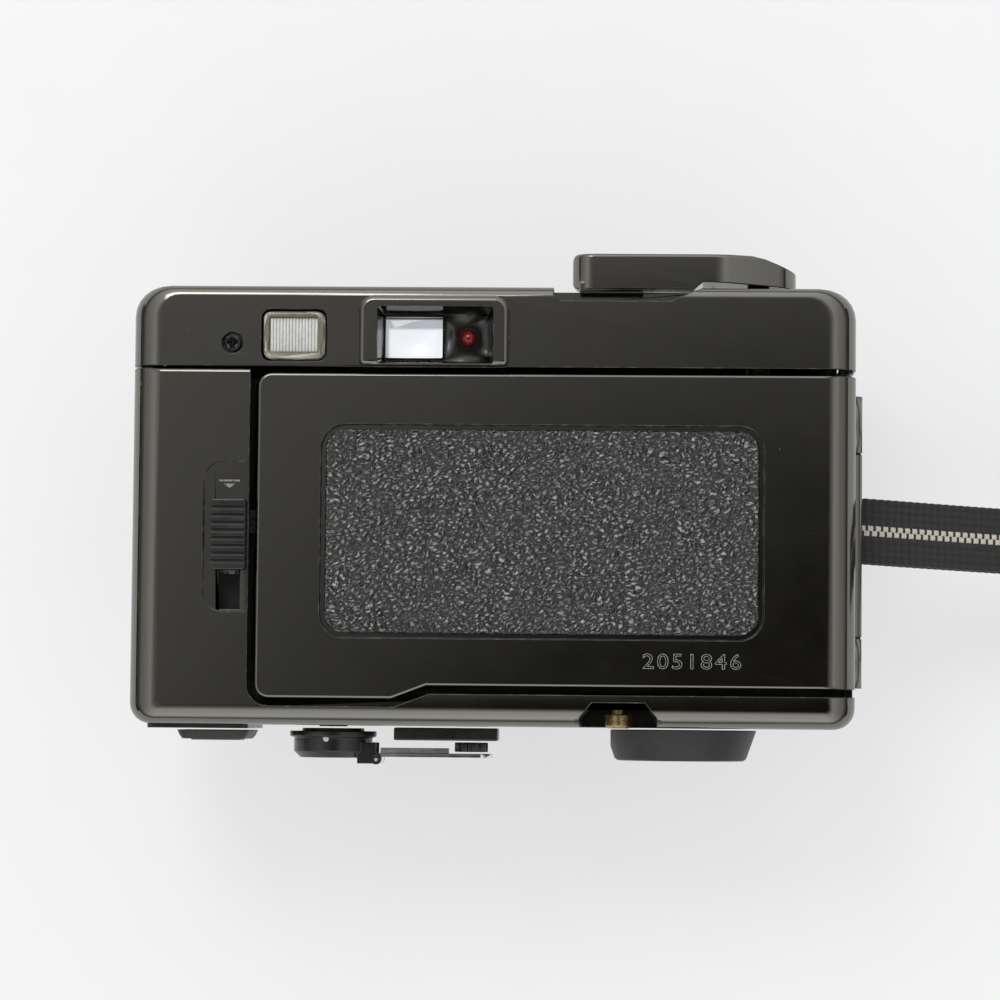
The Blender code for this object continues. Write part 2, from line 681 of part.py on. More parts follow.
def make_latch():
    span = (LATCH_TOP - LATCH_LENGTH, LATCH_TOP)
    moving_body("latch", LATCH_X, sum(span) / 2, BACK)
    slider = part(
        "latch_slider",
        soft_prism(rounded(centred(LATCH_X, LATCH_WIDTH), span, 0.5), (BACK - 0.1, BACK + 1.6), 0.3),
        "black_plastic", "latch",
    )
    grooves = 8
    pitch = (LATCH_LENGTH - 1.6) / grooves
    cut(slider, *[
        block((LATCH_X - LATCH_WIDTH, LATCH_X + LATCH_WIDTH), centred(span[0] + 0.8 + pitch * (i + 0.5), 0.55),
              (BACK + 0.9, BACK + 3))
        for i in range(grooves)
    ])
    fuse(slider, block(centred(LATCH_X, 3.0), (span[0] + 0.6, span[1] - 1.2), (BACK - 1.9, BACK + 0.4)))
    hook_z = (BACK - WALL - 1.6, BACK - WALL - 0.75)
    hook = part("latch_hook", block(centred(LATCH_X, 4.6), (span[0] - 0.6, span[1] + 0.6), hook_z),
                "steel", "latch")
    fuse(hook, block((LATCH_X, DOOR_LEFT - 0.4), (LATCH_TOP - 5.5, LATCH_TOP - 1.7), hook_z))


# Top cover fittings

def make_finder():
    part("eyepiece_liner", stacked([
        [(x, y, BACK - 4.6) for x, y in rounded((EYE_X[0] - 0.9, EYE_X[1] + 0.9), (SEAM + 0.5, EYE_Y[1] + 0.6), 0.6)],
        [(x, y, BACK - 3.3) for x, y in rounded((EYE_X[0] - 0.9, EYE_X[1] + 0.9), (SEAM + 0.5, EYE_Y[1] + 0.6), 0.6)],
    ]), "black_plastic")
    liner = bpy.data.objects["eyepiece_liner"]
    glass_x = (-18.35, -8.4)
    glass_y = (LED_Y - 3.6, LED_Y + 3.7)
    cut(
        liner,
        block(glass_x, glass_y, (BACK - 7, BACK)),
        rod((LED_X, LED_Y), 1.75, (BACK - 7, BACK), "Z", 32),
    )
    part("eyepiece_glass", block(
        (glass_x[0] + 0.2, glass_x[1] - 0.2), (glass_y[0] + 0.2, glass_y[1] - 0.2), (BACK - 4.4, BACK - 2.7),
        0.2, 2,
    ), "glass")
    dome = [(0.0, BACK - 5.6), (1.37, BACK - 5.6)] + [
        (1.37 * math.cos(a), BACK - 3.4 + 1.1 * math.sin(a)) for a in (math.pi / 2 * i / 4 for i in range(4))
    ] + [(0.0, BACK - 2.3)]
    turned("warning_lamp", dome, (LED_X, LED_Y), "Z", "red_plastic", sides=20)
    part("finder_block", block((-20.3, -7.2), (SEAM + 0.9, TOP - WALL - 1.0), (FRONT + WALL + 1.2, BACK - 5.9)),
         "matt_black")
    part("finder_window", soft_prism(
        rounded((-20.7, -6.3), (SEAM + 1.7, SEAM + 9.6), 0.6), (-FRONT - 1.6, -FRONT + 0.1), 0.3,
    ), "glass")
    part("rangefinder_window", soft_prism(
        rounded((12.3, 18.7), (SEAM + 3.7, SEAM + 8.3), 0.6), (-FRONT - 1.6, -FRONT + 0.1), 0.3,
    ), "glass")
    for name in ("finder_window", "rangefinder_window"):
        face_front(bpy.data.objects[name].data)


def face_front(mesh):
    """Turns a shape that was made along -Z over, so that its rounded edge is at the front."""
    mesh.transform(Matrix.Scale(-1, 4, (0, 0, 1)))
    mesh.flip_normals()


def make_lamps_and_screw():
    lamp = part("ready_lamp_lens", soft_prism(
        rounded(centred(READY_X, 10.2), centred(READY_Y, 7.9), 1.2), (BACK - 2.6, BACK + 0.1), 0.5,
    ), "clear_plastic")
    cut(lamp, soft_prism(rounded(centred(READY_X, 8.2), centred(READY_Y, 5.9), 0.5), (BACK - 0.5, BACK + 3), 0.1))
    screw = part("cover_screw", rod(SCREW, 1.45, (BACK - 0.6, BACK - 0.05), "Z", 32), "steel")
    fuse(screw, rod(SCREW, 0.6, (BACK - 4.5, BACK - 0.5), "Z", 24))
    cut(
        screw,
        block(centred(SCREW[0], 1.7), centred(SCREW[1], 0.36), (BACK - 0.35, BACK + 1)),
        block(centred(SCREW[0], 0.36), centred(SCREW[1], 1.7), (BACK - 0.35, BACK + 1)),
    )


def lever_plan():
    """The wind lever seen from above, in X and Z."""
    tab_round = 3.5
    rear = WIND_Z + 9.6
    left = WIND_X - LEVER_REACH
    return (
        arc((left + tab_round, rear - tab_round), tab_round, 90, 270, 10)
        + arc((WIND_X, WIND_Z), HUB_RADIUS, 215, 420, 16)
        + [(WIND_X - 5.0, rear - 0.4), (WIND_X - 8.0, rear)]
    )


def make_wind_lever():
    moving_body("lever", WIND_X, TOP, WIND_Z)
    left = WIND_X - LEVER_REACH
    right = WIND_X + HUB_RADIUS
    tab_end = left + TAB_LENGTH
    profile = (
        arc((left + 1.2, LEVER_LOW + 1.2), 1.2, 180, 270, 4)
        + [(tab_end - 0.4, LEVER_LOW), (tab_end, LEVER_LOW + 0.4), (tab_end + 1.0, LEVER_LOW + 1.2),
           (right, LEVER_LOW + 0.7), (right, LEVER_HIGH - 2.4), (WIND_X + 1.0, LEVER_HIGH - 0.5),
           (WIND_X - 1.5, LEVER_HIGH)]
        + arc((left + 1.2, LEVER_HIGH - 1.2), 1.2, 90, 180, 4)
    )
    lever = part("wind_lever", soft_prism(lever_plan(), (LEVER_LOW - 1, LEVER_HIGH), 0.6, "Y"),
                 "black_plastic", "lever")
    keep_inside(lever, prism(profile, (20, 70)))
    lip_z = (WIND_Z + 7.2, WIND_Z + 9.3)
    fuse(lever, block((left + 1.2, left + 12.0), (TOP - 0.45, LEVER_LOW + 1.2), lip_z, 0.3))
    cut(
        lever,
        rod((WIND_X, WIND_Z), 3.9, (LEVER_HIGH - 3.4, LEVER_HIGH + 3), "Y", 40),
        rod((WIND_X, WIND_Z), SHAFT_RADIUS + GAP, (TOP - 3, LEVER_HIGH + 3), "Y", 32),
    )
    cap = [(0.0, LEVER_HIGH - 3.1), (3.6, LEVER_HIGH - 3.1), (3.6, LEVER_HIGH - 1.5), (3.2, LEVER_HIGH - 1.1),
           (0.0, LEVER_HIGH - 1.1)]
    turned("lever_cap", cap, (WIND_X, WIND_Z), "Y", "black_plastic", "lever")
    film_top = LENS_Y + FILM_HEIGHT / 2
    part("wind_shaft", rod((WIND_X, WIND_Z), SHAFT_RADIUS, (film_top + 4.0, LEVER_HIGH - 3.4), "Y", 32),
         "steel", "lever")


def make_film_transport():
    film = centred(LENS_Y, FILM_HEIGHT)
    moving_body("spool", WIND_X, LENS_Y, WIND_Z)
    r, flange = SPOOL_RADIUS, SPOOL_CHAMBER - 0.9
    spool = turned("take_up_spool", [
        (0.0, film[0] - 3.2), (2.2, film[0] - 3.2), (2.2, film[0] - 1.6), (flange, film[0] - 1.6),
        (flange, film[0] - 0.6), (r, film[0] - 0.6), (r, film[1] + 0.6), (flange, film[1] + 0.6),
        (flange, film[1] + 1.6), (2.2, film[1] + 1.6), (2.2, film[1] + 3.4), (0.0, film[1] + 3.4),
    ], (WIND_X, WIND_Z), "Y", "black_plastic", "spool", 24)
    cut(spool, block(centred(WIND_X, 1.6), centred(LENS_Y, 26.0), (WIND_Z + 3.0, WIND_Z + 12)))
    sprocket_z = DECK - 5.2
    moving_body("sprocket", SPROCKET_X, LENS_Y, sprocket_z)
    hub = SPROCKET_RADIUS - 0.9
    sprocket = turned("sprocket", [
        (0.0, film[0] + 0.4), (hub, film[0] + 0.4), (hub, film[0] + 4.6), (2.4, film[0] + 5.4),
        (2.4, film[1] - 5.4), (hub, film[1] - 4.6), (hub, film[1] - 0.4), (1.0, film[1] - 0.4),
        (1.0, film[1] + 3.0), (0.0, film[1] + 3.0),
    ], (SPROCKET_X, sprocket_z), "Y", "steel", "sprocket", 18)
    for edge in (film[0] + 2.4, film[1] - 2.4):
        for i in range(SPROCKET_TEETH):
            tooth = block((hub - 1.0, SPROCKET_RADIUS), centred(edge, 1.6), (-0.9, 0.9))
            angle = 2 * math.pi * (i + 0.5) / SPROCKET_TEETH
            tooth.transform(
                Matrix.Translation(Vector((SPROCKET_X, 0, sprocket_z)) * MM) @ Matrix.Rotation(angle, 4, "Y")
            )
            fuse(sprocket, tooth)
    moving_body("counter", COUNTER_X, TOP, COUNTER_Z)
    turned("frame_counter_disc", [
        (0.0, TOP - 4.6), (1.2, TOP - 4.6), (1.2, TOP - 3.6), (COUNTER_RADIUS, TOP - 3.6),
        (COUNTER_RADIUS, TOP - 2.8), (0.0, TOP - 2.8),
    ], (COUNTER_X, COUNTER_Z), "Y", "matt_black", "counter")
    turned("counter_window", [
        (0.0, TOP - 1.5), (3.1, TOP - 1.5), (3.1, TOP - 0.2), (2.6, TOP + 0.1), (0.0, TOP + 0.25),
    ], (COUNTER_X, COUNTER_Z - 4.4), "Y", "glass")


def make_shutter_button():
    moving_body("button", BUTTON_X, TOP, BUTTON_Z)
    r = BUTTON_RADIUS
    turned("shutter_button", [
        (0.0, TOP - 8.0), (1.4, TOP - 8.0), (1.4, TOP - 1.2), (r, TOP - 1.2), (r, TOP + 0.7),
        (r - 0.4, TOP + 1.1), (r - 1.4, TOP + 1.0), (0.0, TOP + 0.7),
    ], (BUTTON_X, BUTTON_Z), "Y", "chrome", "button")


def make_flash():
    moving_body("flash", FLASH_X, TOP, FRONT)
    x = centred(FLASH_X, FLASH_WIDTH)
    y = (SEAM + 1.3, TOP)
    head = part("flash_head", soft_prism(
        rounded(x, (FRONT + 0.1, FRONT + FLASH_DEPTH), 0.8, steps=3), y, 0.8, "Y",
    ), "black_paint", "flash")
    window_x = (x[0] + 1.6, x[1] - 1.6)
    window_y = (y[0] + 1.6, y[1] - 2.0)
    cut(head, stacked([
        [(u, v, FRONT - 1) for u, v in rounded(window_x, window_y, 0.6, steps=3)],
        [(u, v, FRONT + 2) for u, v in rounded(window_x, window_y, 0.6, steps=3)],
        [(u, v, FRONT + 8) for u, v in inset(rounded(window_x, window_y, 2.9, steps=3), 2.4)],
    ]))
    part("flash_window", block(
        (window_x[0] + GAP, window_x[1] - GAP), (window_y[0] + GAP, window_y[1] - GAP),
        (FRONT + 0.3, FRONT + 1.3), 0.2, 2,
    ), "clear_plastic", "flash")
    middle = sum(window_y) / 2
    part("flash_tube", rod((middle, FRONT + 4.6), 1.0, (window_x[0] + 2.3, window_x[1] - 2.3), "X", 20),
         "glass", "flash")
    part("flash_capacitor", rod((SEAM + 6.0, BACK - 9.5), 4.8, (LEFT + 3.6, LEFT + 13.6), "X", 32),
         "battery_jacket")


# Power

def make_batteries():
    y = BATTERY_Y
    length = BATTERY_LENGTH
    for name, z, up in (("battery_front", BATTERY_LOW_Z, True), ("battery_rear", BATTERY_HIGH_Z, False)):
        r = BATTERY_RADIUS
        heights = [(0.0, 0.0), (r - 0.5, 0.0), (r, 0.5), (r, length - 1.5), (r - 0.5, length - 1.0),
                   (2.7, length - 1.0), (2.7, length), (0.0, length)]
        turned(name, [(a, y + (h if up else length - h)) for a, h in heights], (BATTERY_X, z), "Y",
               "battery_jacket", sides=24)
    part("battery_contact", block(
        centred(BATTERY_X, 2 * BATTERY_RADIUS - 2.0), (y + length + 0.4, y + length + 0.9),
        (BATTERY_LOW_Z - 5, BATTERY_HIGH_Z + 5),
    ), "brass")
    moving_body("battery_door", COVER_AXIS_X, COVER_AXIS_Y, REWIND_Z)
    x = (COVER_AXIS_X + GAP, BATTERY_DOOR_RIGHT)
    z = (FRONT + 3.6, BACK - 3.6)
    part("battery_door", soft_prism(
        rounded(x, z, 1.0, steps=3), (-(BOTTOM - 0.65), -(BOTTOM + 0.95)), 0.3, "Y", 3,
    ), "black_plastic", "battery_door")
    door = bpy.data.objects["battery_door"].data
    door.transform(Matrix.Scale(-1, 4, (0, 1, 0)))
    door.flip_normals()
    foot = rounded((x[1] - 12.6, x[1] - 0.3), (RELEASE_Z - 18, RELEASE_Z), 2.0, steps=3)
    part("base_foot", stacked([
        [(u, BOTTOM - 0.95, v) for u, v in foot],
        [(u, KNOB_HIGH + GAP + 0.6, v) for u, v in inset(foot, 0.4)],
        [(u, KNOB_HIGH + GAP, v) for u, v in inset(foot, 0.9)],
    ]), "black_plastic", "battery_door")


# Base fittings

def make_rewind():
    moving_body("rewind", REWIND_X, BOTTOM, REWIND_Z)
    r = DRUM_RADIUS
    drum = turned("rewind_drum", [
        (0.0, BOTTOM - 0.5), (r - 1.4, BOTTOM - 0.5), (r - 1.4, BOTTOM - 1.0), (r + 0.7, BOTTOM - 1.0),
        (r + 0.7, BOTTOM - 1.9), (r, BOTTOM - 2.1), (r, DRUM_END + 1.1), (r - 1.1, DRUM_END), (0.0, DRUM_END),
    ], (REWIND_X, REWIND_Z), "Y", "black_plastic", "rewind", 36)
    ear_span = (CRANK_AXIS_X - 3.2, CRANK_AXIS_X)
    pin_hole = rod((CRANK_AXIS_X, CRANK_AXIS_Y), 0.45 + RUNNING, (REWIND_Z - 8, REWIND_Z + 8), "Z", 20)
    for side in (-1, 1):
        low, high = sorted((REWIND_Z + side * 3.5, REWIND_Z + side * 4.4))
        fuse(
            drum,
            block(ear_span, (DRUM_END - 0.15 - 0.8, DRUM_END + 2.6), (low, high)),
            rod((CRANK_AXIS_X, CRANK_AXIS_Y), EAR_RADIUS, (low, high), "Z", 20),
        )
    cut(drum, pin_hole)
    part("crank_pin", rod((CRANK_AXIS_X, CRANK_AXIS_Y), 0.45, centred(REWIND_Z, 8.6), "Z", 20),
         "steel", "rewind")
    fork = turned("rewind_fork", [
        (0.0, BOTTOM - 0.2), (2.4, BOTTOM - 0.2), (2.4, LENS_Y - CASSETTE_LENGTH / 2 + 1.0),
        (1.7, LENS_Y - CASSETTE_LENGTH / 2 + 1.4), (1.7, LENS_Y - CASSETTE_LENGTH / 2 + 6.0),
        (0.0, LENS_Y - CASSETTE_LENGTH / 2 + 6.0),
    ], (REWIND_X, REWIND_Z), "Y", "steel", "rewind", 20)
    cut(fork, block(
        centred(REWIND_X, 1.3), (LENS_Y - CASSETTE_LENGTH / 2 + 2.4, LENS_Y), centred(REWIND_Z, 8.0)
    ))
    make_crank()


def make_crank():
    moving_body("crank", CRANK_AXIS_X, CRANK_AXIS_Y, REWIND_Z)
    arm_y = (CRANK_AXIS_Y + 0.3, ARM_TOP)
    tip = KNOB_X + 3.6
    plan = (
        [(CRANK_AXIS_X - 0.1, REWIND_Z - 2.7)]
        + arc((KNOB_X + 0.4, REWIND_Z), 3.2, -70, 70, 10)
        + [(CRANK_AXIS_X - 0.1, REWIND_Z + 2.7)]
    )
    arm = part("crank_arm", soft_prism(plan, arm_y, 0.12, "Y", 2), "chrome", "crank")
    fuse(arm, rod((CRANK_AXIS_X, CRANK_AXIS_Y), EAR_RADIUS, centred(REWIND_Z, 6.4), "Z", 20))
    fuse(arm, block((CRANK_AXIS_X + 0.6, KNOB_X - KNOB_RADIUS - 0.9), (arm_y[1] - 0.1, arm_y[1] + 0.9),
                    centred(REWIND_Z, 3.0)))
    cut(arm, rod((CRANK_AXIS_X, CRANK_AXIS_Y), 0.45 + RUNNING, centred(REWIND_Z, 12.0), "Z", 20))
    moving_body("knob", KNOB_X, arm_y[1], REWIND_Z)
    flutes = 12
    outline = [
        (KNOB_X + r * math.cos(a), REWIND_Z + r * math.sin(a))
        for r, a in (
            (KNOB_RADIUS - (0.3 if i % 4 in (2, 3) else 0.0), 2 * math.pi * i / (4 * flutes))
            for i in range(4 * flutes)
        )
    ]
    part("crank_knob", prism(outline, (arm_y[1] + GAP, KNOB_HIGH), "Y"), "black_plastic", "knob")
    rest_y = (KNOB_HIGH + GAP, BOTTOM - GAP)
    part("crank_rest", block((CRANK_AXIS_X + 3.0, tip + 1.0), rest_y, centred(REWIND_Z, 9.0), 0.3),
         "black_plastic")


def make_release_button():
    moving_body("release", RELEASE_X, BOTTOM, RELEASE_Z)
    r = RELEASE_RADIUS
    stem_top = NOTCH_ROOF - RELEASE_TRAVEL - GAP
    turned("rewind_release_button", [
        (0.0, BOTTOM - 0.1), (r - 0.4, BOTTOM - 0.1), (r, BOTTOM + 0.3), (r, BOTTOM + 2.2),
        (1.0, BOTTOM + 2.2), (1.0, stem_top), (0.0, stem_top),
    ], (RELEASE_X, RELEASE_Z), "Y", "brass", "release", 24)


def make_tripod_boss():
    boss_z = (FRONT + BACK) / 2 - 2.0
    start = BOTTOM - GAP
    end = start - BOSS_HEIGHT
    hole = SOCKET_RADIUS + 1.3 + GAP
    boss = turned("tripod_boss", [
        (0.0, start), (BOSS_RADIUS, start), (BOSS_RADIUS - 1.7, end + 0.4), (BOSS_RADIUS - 2.2, end),
        (hole, end), (hole, start - 0.5), (0.0, start - 0.5),
    ], (BOSS_X, boss_z), "Y", "black_plastic", sides=40)
    cut(boss, block((BOSS_X - BOSS_RADIUS - 3, BOSS_X - BOSS_RADIUS + 1.0), (end - 3, start + 3), (0, 90)))
    turned("tripod_bush", [
        (SOCKET_RADIUS, start - 0.8), (SOCKET_RADIUS + 1.3, start - 0.8), (SOCKET_RADIUS + 1.3, end + 0.2),
        (SOCKET_RADIUS, end + 0.2),
    ], (BOSS_X, boss_z), "Y", "brass", sides=24)


# Lens

def make_lens():
    axis = (LENS_X, LENS_Y)
    r = BARREL_RADIUS
    turned("lens_mount", [
        (r - 3.4, 6.5), (r - 0.4, 6.5), (r - 0.4, 18.6), (RING_RADIUS + 1.2, 18.6), (RING_RADIUS + 1.2, 21.2),
        (RING_RADIUS + 0.7, FRONT - GAP), (r - 3.4, FRONT - GAP),
    ], axis, "Z", "black_plastic", sides=44)
    turned("front_bezel", [
        (r - 4.4, 0.0), (r - 0.5, 0.0), (r, 0.5), (r, 6.1), (CELL_RADIUS + 2.0, 6.1), (CELL_RADIUS + 1.6, 4.6),
        (r - 4.9, 0.5),
    ], axis, "Z", "black_plastic", sides=44)
    bezel = bpy.data.objects["front_bezel"]
    meter = (LENS_X, LENS_Y + CELL_RADIUS + 3.2)
    cut(bezel, rod(meter, 1.7, (-1, 4.6), "Z", 24))
    turned("meter_cell", [(0.0, 2.6), (1.4, 2.6), (1.4, 4.3), (0.0, 4.3)], meter, "Z", "glass", sides=24)
    moving_body("focus", LENS_X, LENS_Y, 13.0)
    flutes = 36
    outline = [
        (LENS_X + q * math.cos(a), LENS_Y + q * math.sin(a))
        for q, a in (
            (RING_RADIUS - (0.5 if i % 2 else 0.0), 2 * math.pi * i / (2 * flutes)) for i in range(2 * flutes)
        )
    ]
    ring = part("focus_ring", prism(outline, (7.4, 18.2)), "black_plastic", "focus")
    cut(ring, rod(axis, r, (5, 20), "Z", 48))
    moving_body("cell", LENS_X, LENS_Y, 8.0)
    c = CELL_RADIUS
    turned("lens_cell", [
        (c - 2.2, 3.0), (c - 0.5, 3.0), (c, 3.5), (c, 12.6), (c - 2.6, 12.6), (c - 2.6, 9.0), (c - 2.2, 8.6),
    ], axis, "Z", "black_plastic", "cell", 32)
    glass = c - 2.2 - GAP
    bulge = [(glass * math.sin(a), 5.2 - 1.4 * math.cos(a)) for a in (math.pi / 2 * i / 4 for i in range(5))]
    turned("front_element", [(0.0, 3.8)] + bulge[1:] + [(glass, 7.0), (0.0, 6.4)], axis, "Z", "glass", "cell", 28)
    turned("rear_element", [
        (0.0, 21.6), (3.5, 21.4), (6.6, 20.6), (6.6, 19.0), (0.0, 18.6),
    ], axis, "Z", "glass", sides=24)
    turned("shutter_housing", [
        (8.0, 14.6), (r - 3.7, 14.6), (r - 3.7, FRONT - GAP), (11.0, FRONT - GAP), (7.2, 21.4),
        (7.2, 18.0), (8.0, 17.4),
    ], axis, "Z", "black_plastic", sides=32)
    make_shutter_blades()


def make_shutter_blades():
    """Two thin leaves that meet across the opening and swing apart about their pivots."""
    reach = 16.5
    for index, side in enumerate((-1, 1)):
        name = f"shutter_blade_{index + 1}"
        pivot = (LENS_X + side * reach, LENS_Y + 1.0)
        moving_body(name, *pivot, 13.5)
        turn = 90 if side < 0 else -90
        eye = arc(pivot, 2.0, turn, turn + 180, 8)
        leaf = [
            (LENS_X + x, LENS_Y + side * y) for x, y in ((side * 7.0, 9.0), (0.0, 9.0), (0.0, -9.0), (side * 7.0, -9.0))
        ]
        low = 13.0 + index * (BLADE_SHEET + 0.35)
        part(name, prism(eye + leaf, (low, low + BLADE_SHEET)), "steel", name)


def make_front_leather():
    panel_y = (BOTTOM + 5.5, SEAM - 3.0)
    for name, x in (("front_leather_left", (LEFT + 5.2, -10.0)), ("front_leather_right", (30.0, RIGHT - 5.2))):
        panel = part(name, prism(rounded(x, panel_y, 1.5), (FRONT - GAP - 0.5, FRONT - GAP)), "leather")
        cut(panel, rod((LENS_X, LENS_Y), RING_RADIUS + 1.8, (FRONT - 3, FRONT + 3), "Z", 64))


# Strap

def smooth_route(points, per_span=2):
    """Points of a Catmull-Rom curve through the given ones."""
    route = []
    padded = [points[0]] + points + [points[-1]]
    for a, b, c, d in zip(padded, padded[1:], padded[2:], padded[3:]):
        for i in range(per_span):
            t = i / per_span
            route.append(tuple(
                0.5 * (2 * q + (r - p) * t + (2 * p - 5 * q + 4 * r - s) * t**2 + (3 * q - p - 3 * r + s) * t**3)
                for p, q, r, s in zip(a, b, c, d)
            ))
    return route + [points[-1]]


def strap_middle(x):
    return STRAP_Y + STRAP_DRIFT * (x - RIGHT)


def make_strap():
    part("strap_bar", rod((BAR_X, STRAP_Z), BAR_RADIUS, centred(STRAP_Y, STRAP_WIDTH + 6.0), "Y", 24), "steel")
    bm = bmesh.new()
    rows = []
    for x, z in smooth_route(STRAP_ROUTE):
        middle = strap_middle(x)
        rows.append([bm.verts.new(Vector((x, y, z)) * MM) for y in centred(middle, STRAP_WIDTH)])
    for (a, b), (c, d) in zip(rows, rows[1:]):
        bm.faces.new((a, b, d, c))
    strap = part("wrist_strap", to_mesh(bm), "webbing")
    thick = strap.modifiers.new("thickness", "SOLIDIFY")
    thick.thickness = STRAP_THICK * MM
    thick.offset = 0.0
    thick.use_even_offset = True
    make_keeper()


def make_keeper():
    """A short sleeve round both runs of the strap."""
    start, end = STRAP_ROUTE[7], STRAP_ROUTE[8]
    back_start, back_end = STRAP_ROUTE[27], STRAP_ROUTE[26]
    middle = Vector((
        (start[0] + end[0]) / 2, 0.0, (start[1] + end[1] + back_start[1] + back_end[1]) / 4
    ))
    middle.y = strap_middle(middle.x)
    slope = math.atan2(start[1] - end[1], end[0] - start[0])
    wide, high, wall = STRAP_WIDTH + 1.6, 2 * STRAP_THICK + 4.2, 1.0
    outer = rounded(centred(0.0, wide + 2 * wall), centred(0.0, high + 2 * wall), 1.6)
    inner = rounded(centred(0.0, wide), centred(0.0, high), 0.8)
    place = Matrix.Translation(middle * MM) @ Matrix.Rotation(slope, 4, "Y")
    sleeve = soft_prism(outer, centred(0.0, KEEPER_LENGTH), 0.4, "X", 3, True)
    bore = prism(inner, centred(0.0, KEEPER_LENGTH + 4), "X")
    for mesh in (sleeve, bore):
        mesh.transform(place)
    cut(part("strap_keeper", sleeve, "black_plastic"), bore)


make_body_shell()
make_top_cover()
make_chassis()
make_back_door()
make_hinge()
make_latch()
make_finder()
make_lamps_and_screw()
make_wind_lever()
make_film_transport()
make_shutter_button()
make_flash()
make_batteries()
make_rewind()
make_release_button()
make_tripod_boss()
make_lens()
make_front_leather()
make_strap()
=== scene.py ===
"""Looks of a compact rangefinder camera that lies on its lens rim with its back up.

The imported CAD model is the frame: places come from the boxes of its nodes. Sizes are in
millimetres, except where a comment says metres.
"""

import json
import math

import bmesh
import bpy
import numpy as np
from mathutils import Matrix, Vector


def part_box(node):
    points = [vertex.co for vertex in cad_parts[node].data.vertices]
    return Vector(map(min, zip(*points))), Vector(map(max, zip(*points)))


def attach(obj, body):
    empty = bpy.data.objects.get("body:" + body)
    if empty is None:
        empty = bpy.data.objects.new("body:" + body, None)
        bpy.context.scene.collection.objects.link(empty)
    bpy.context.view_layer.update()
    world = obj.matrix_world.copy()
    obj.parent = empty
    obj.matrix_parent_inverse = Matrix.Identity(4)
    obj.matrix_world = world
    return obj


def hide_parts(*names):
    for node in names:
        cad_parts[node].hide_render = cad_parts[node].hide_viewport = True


MM = 0.001

# Camera
VIEW_PLACE = (22.6, -35.1, 655.0)  # from the middle of the body
VIEW_TURN = (3.461, 2.0, 0.539)  # degrees
VIEW_LENS = 130.2
VIEW_SENSOR = 36.0

# Light
WINDOW_PLACE = (-0.28, 0.62, 1.05)  # metres; the window faces the origin
WINDOW_SIZE = (0.42, 0.42)  # metres
WINDOW_POWER = 3.4
WINDOW_COLOUR = (1.0, 0.99, 0.97)
ROOM_LIGHT = 1.9
ROOM_BY_HEIGHT = ((0.0, 0.05), (0.12, 0.3), (0.35, 1.0), (0.85, 0.8), (0.95, 0.26), (1.0, 0.2))
ROOM_BY_SIDE = ((0.0, 1.0), (0.45, 0.8), (0.9, 0.35), (1.0, 0.3))
HEAD = (0.08, -0.10)  # middle of the dark shape above, as a direction
HEAD_SHADE = ((0.0, 0.0), (0.15, 0.03), (0.245, 0.78), (0.33, 0.95))
TABLE_SIZE = 4000.0
TABLE_GLOW = 0.55  # light from the table itself, which keeps shadows faint

# CAD pieces whose edges are rounded, and by how much
EDGE_WIDTH = {
    "body_shell": 0.16, "top_cover": 0.16, "back_door": 0.16, "wind_lever": 0.2,
    "latch_slider": 0.1, "crank_arm": 0.06, "crank_knob": 0.12, "rewind_drum": 0.14,
    "tripod_boss": 0.16, "battery_door": 0.12, "base_foot": 0.12, "rewind_release_button": 0.12,
    "focus_ring": 0.14, "lens_mount": 0.16, "front_bezel": 0.16, "strap_keeper": 0.18,
    "crank_rest": 0.1,
}
PAINTED = ("body_shell", "top_cover", "back_door")
SHARP_ANGLE = 32  # degrees

# Leatherette
LEATHER_STEP = 0.2
LEATHER_DEPTH = 0.6
LEATHER_CORNER = 3.3
LEATHER_RIM = 0.5  # where the grain fades out
PEBBLE = (1.35, 0.74)  # length and width of a pebble
PEBBLE_LEAN = 27.0  # degrees

# Webbing
STRAP_WIDTH = 11.1
STRAP_Y = -2.75
STRAP_DRIFT = -0.035  # sideways, for each millimetre away from the body
RIB_PITCH = 1.46
STEPS_PER_RIB = 6
YARN_WIDTHS = [1.181] * 4 + [0.876] * 2 + [1.181] * 4
CREAM_YARNS = (4, 5)
CORE = 0.27  # from the middle of the webbing to the creases between its ribs
SELVAGE = 0.4
SELVAGE_WAVE = 0.13
STRAP_ROUTE = [  # the CAD model's own points: across from the body's middle, and height
    (56.11, 38.17), (56.7, 39.35), (57.9, 39.85), (60.4, 39.4), (64.2, 38.0), (70.0, 35.0),
    (79.0, 30.2), (90.0, 25.0), (99.0, 22.0), (107.0, 21.5), (116.0, 22.6), (127.0, 24.4),
    (140.0, 25.6), (154.0, 25.3), (167.0, 23.2), (178.0, 19.4), (185.0, 14.2), (187.6, 8.4),
    (184.6, 3.2), (177.0, 0.95), (164.0, 0.75), (148.0, 0.75), (134.0, 0.85), (123.0, 2.2),
    (114.0, 6.6), (106.0, 12.6), (99.0, 17.1), (90.0, 20.2), (79.0, 25.4), (70.0, 30.2),
    (64.2, 33.7), (60.4, 35.8), (57.9, 36.15), (56.7, 36.65), (56.11, 37.83),
]

# Lamps
RIB_INSET = 1.1  # from the edge of the ready lamp's frame to its ribbed lens
LAMP_RIBS = 15
STEPS_PER_LAMP_RIB = 8
RIB_HEIGHT = 0.34
RIB_LOW = 0.52  # from the frame's face down to the creases between the ribs
RIB_END = 0.25
TRAY_INSET = 0.35
TRAY_TOP, TRAY_BOTTOM = 0.05, 0.35  # below the underside of the frame
SEAT_RINGS = ((1.0, 2.0), (0.55, 1.05), (0.05, 1.3))  # past the red lamp's edge, and below its top
SEAT_STEPS = 40
PANE_INSET = 0.1
PANE_TOP, PANE_BOTTOM = 0.1, 0.5  # below the underside of the eyepiece glass

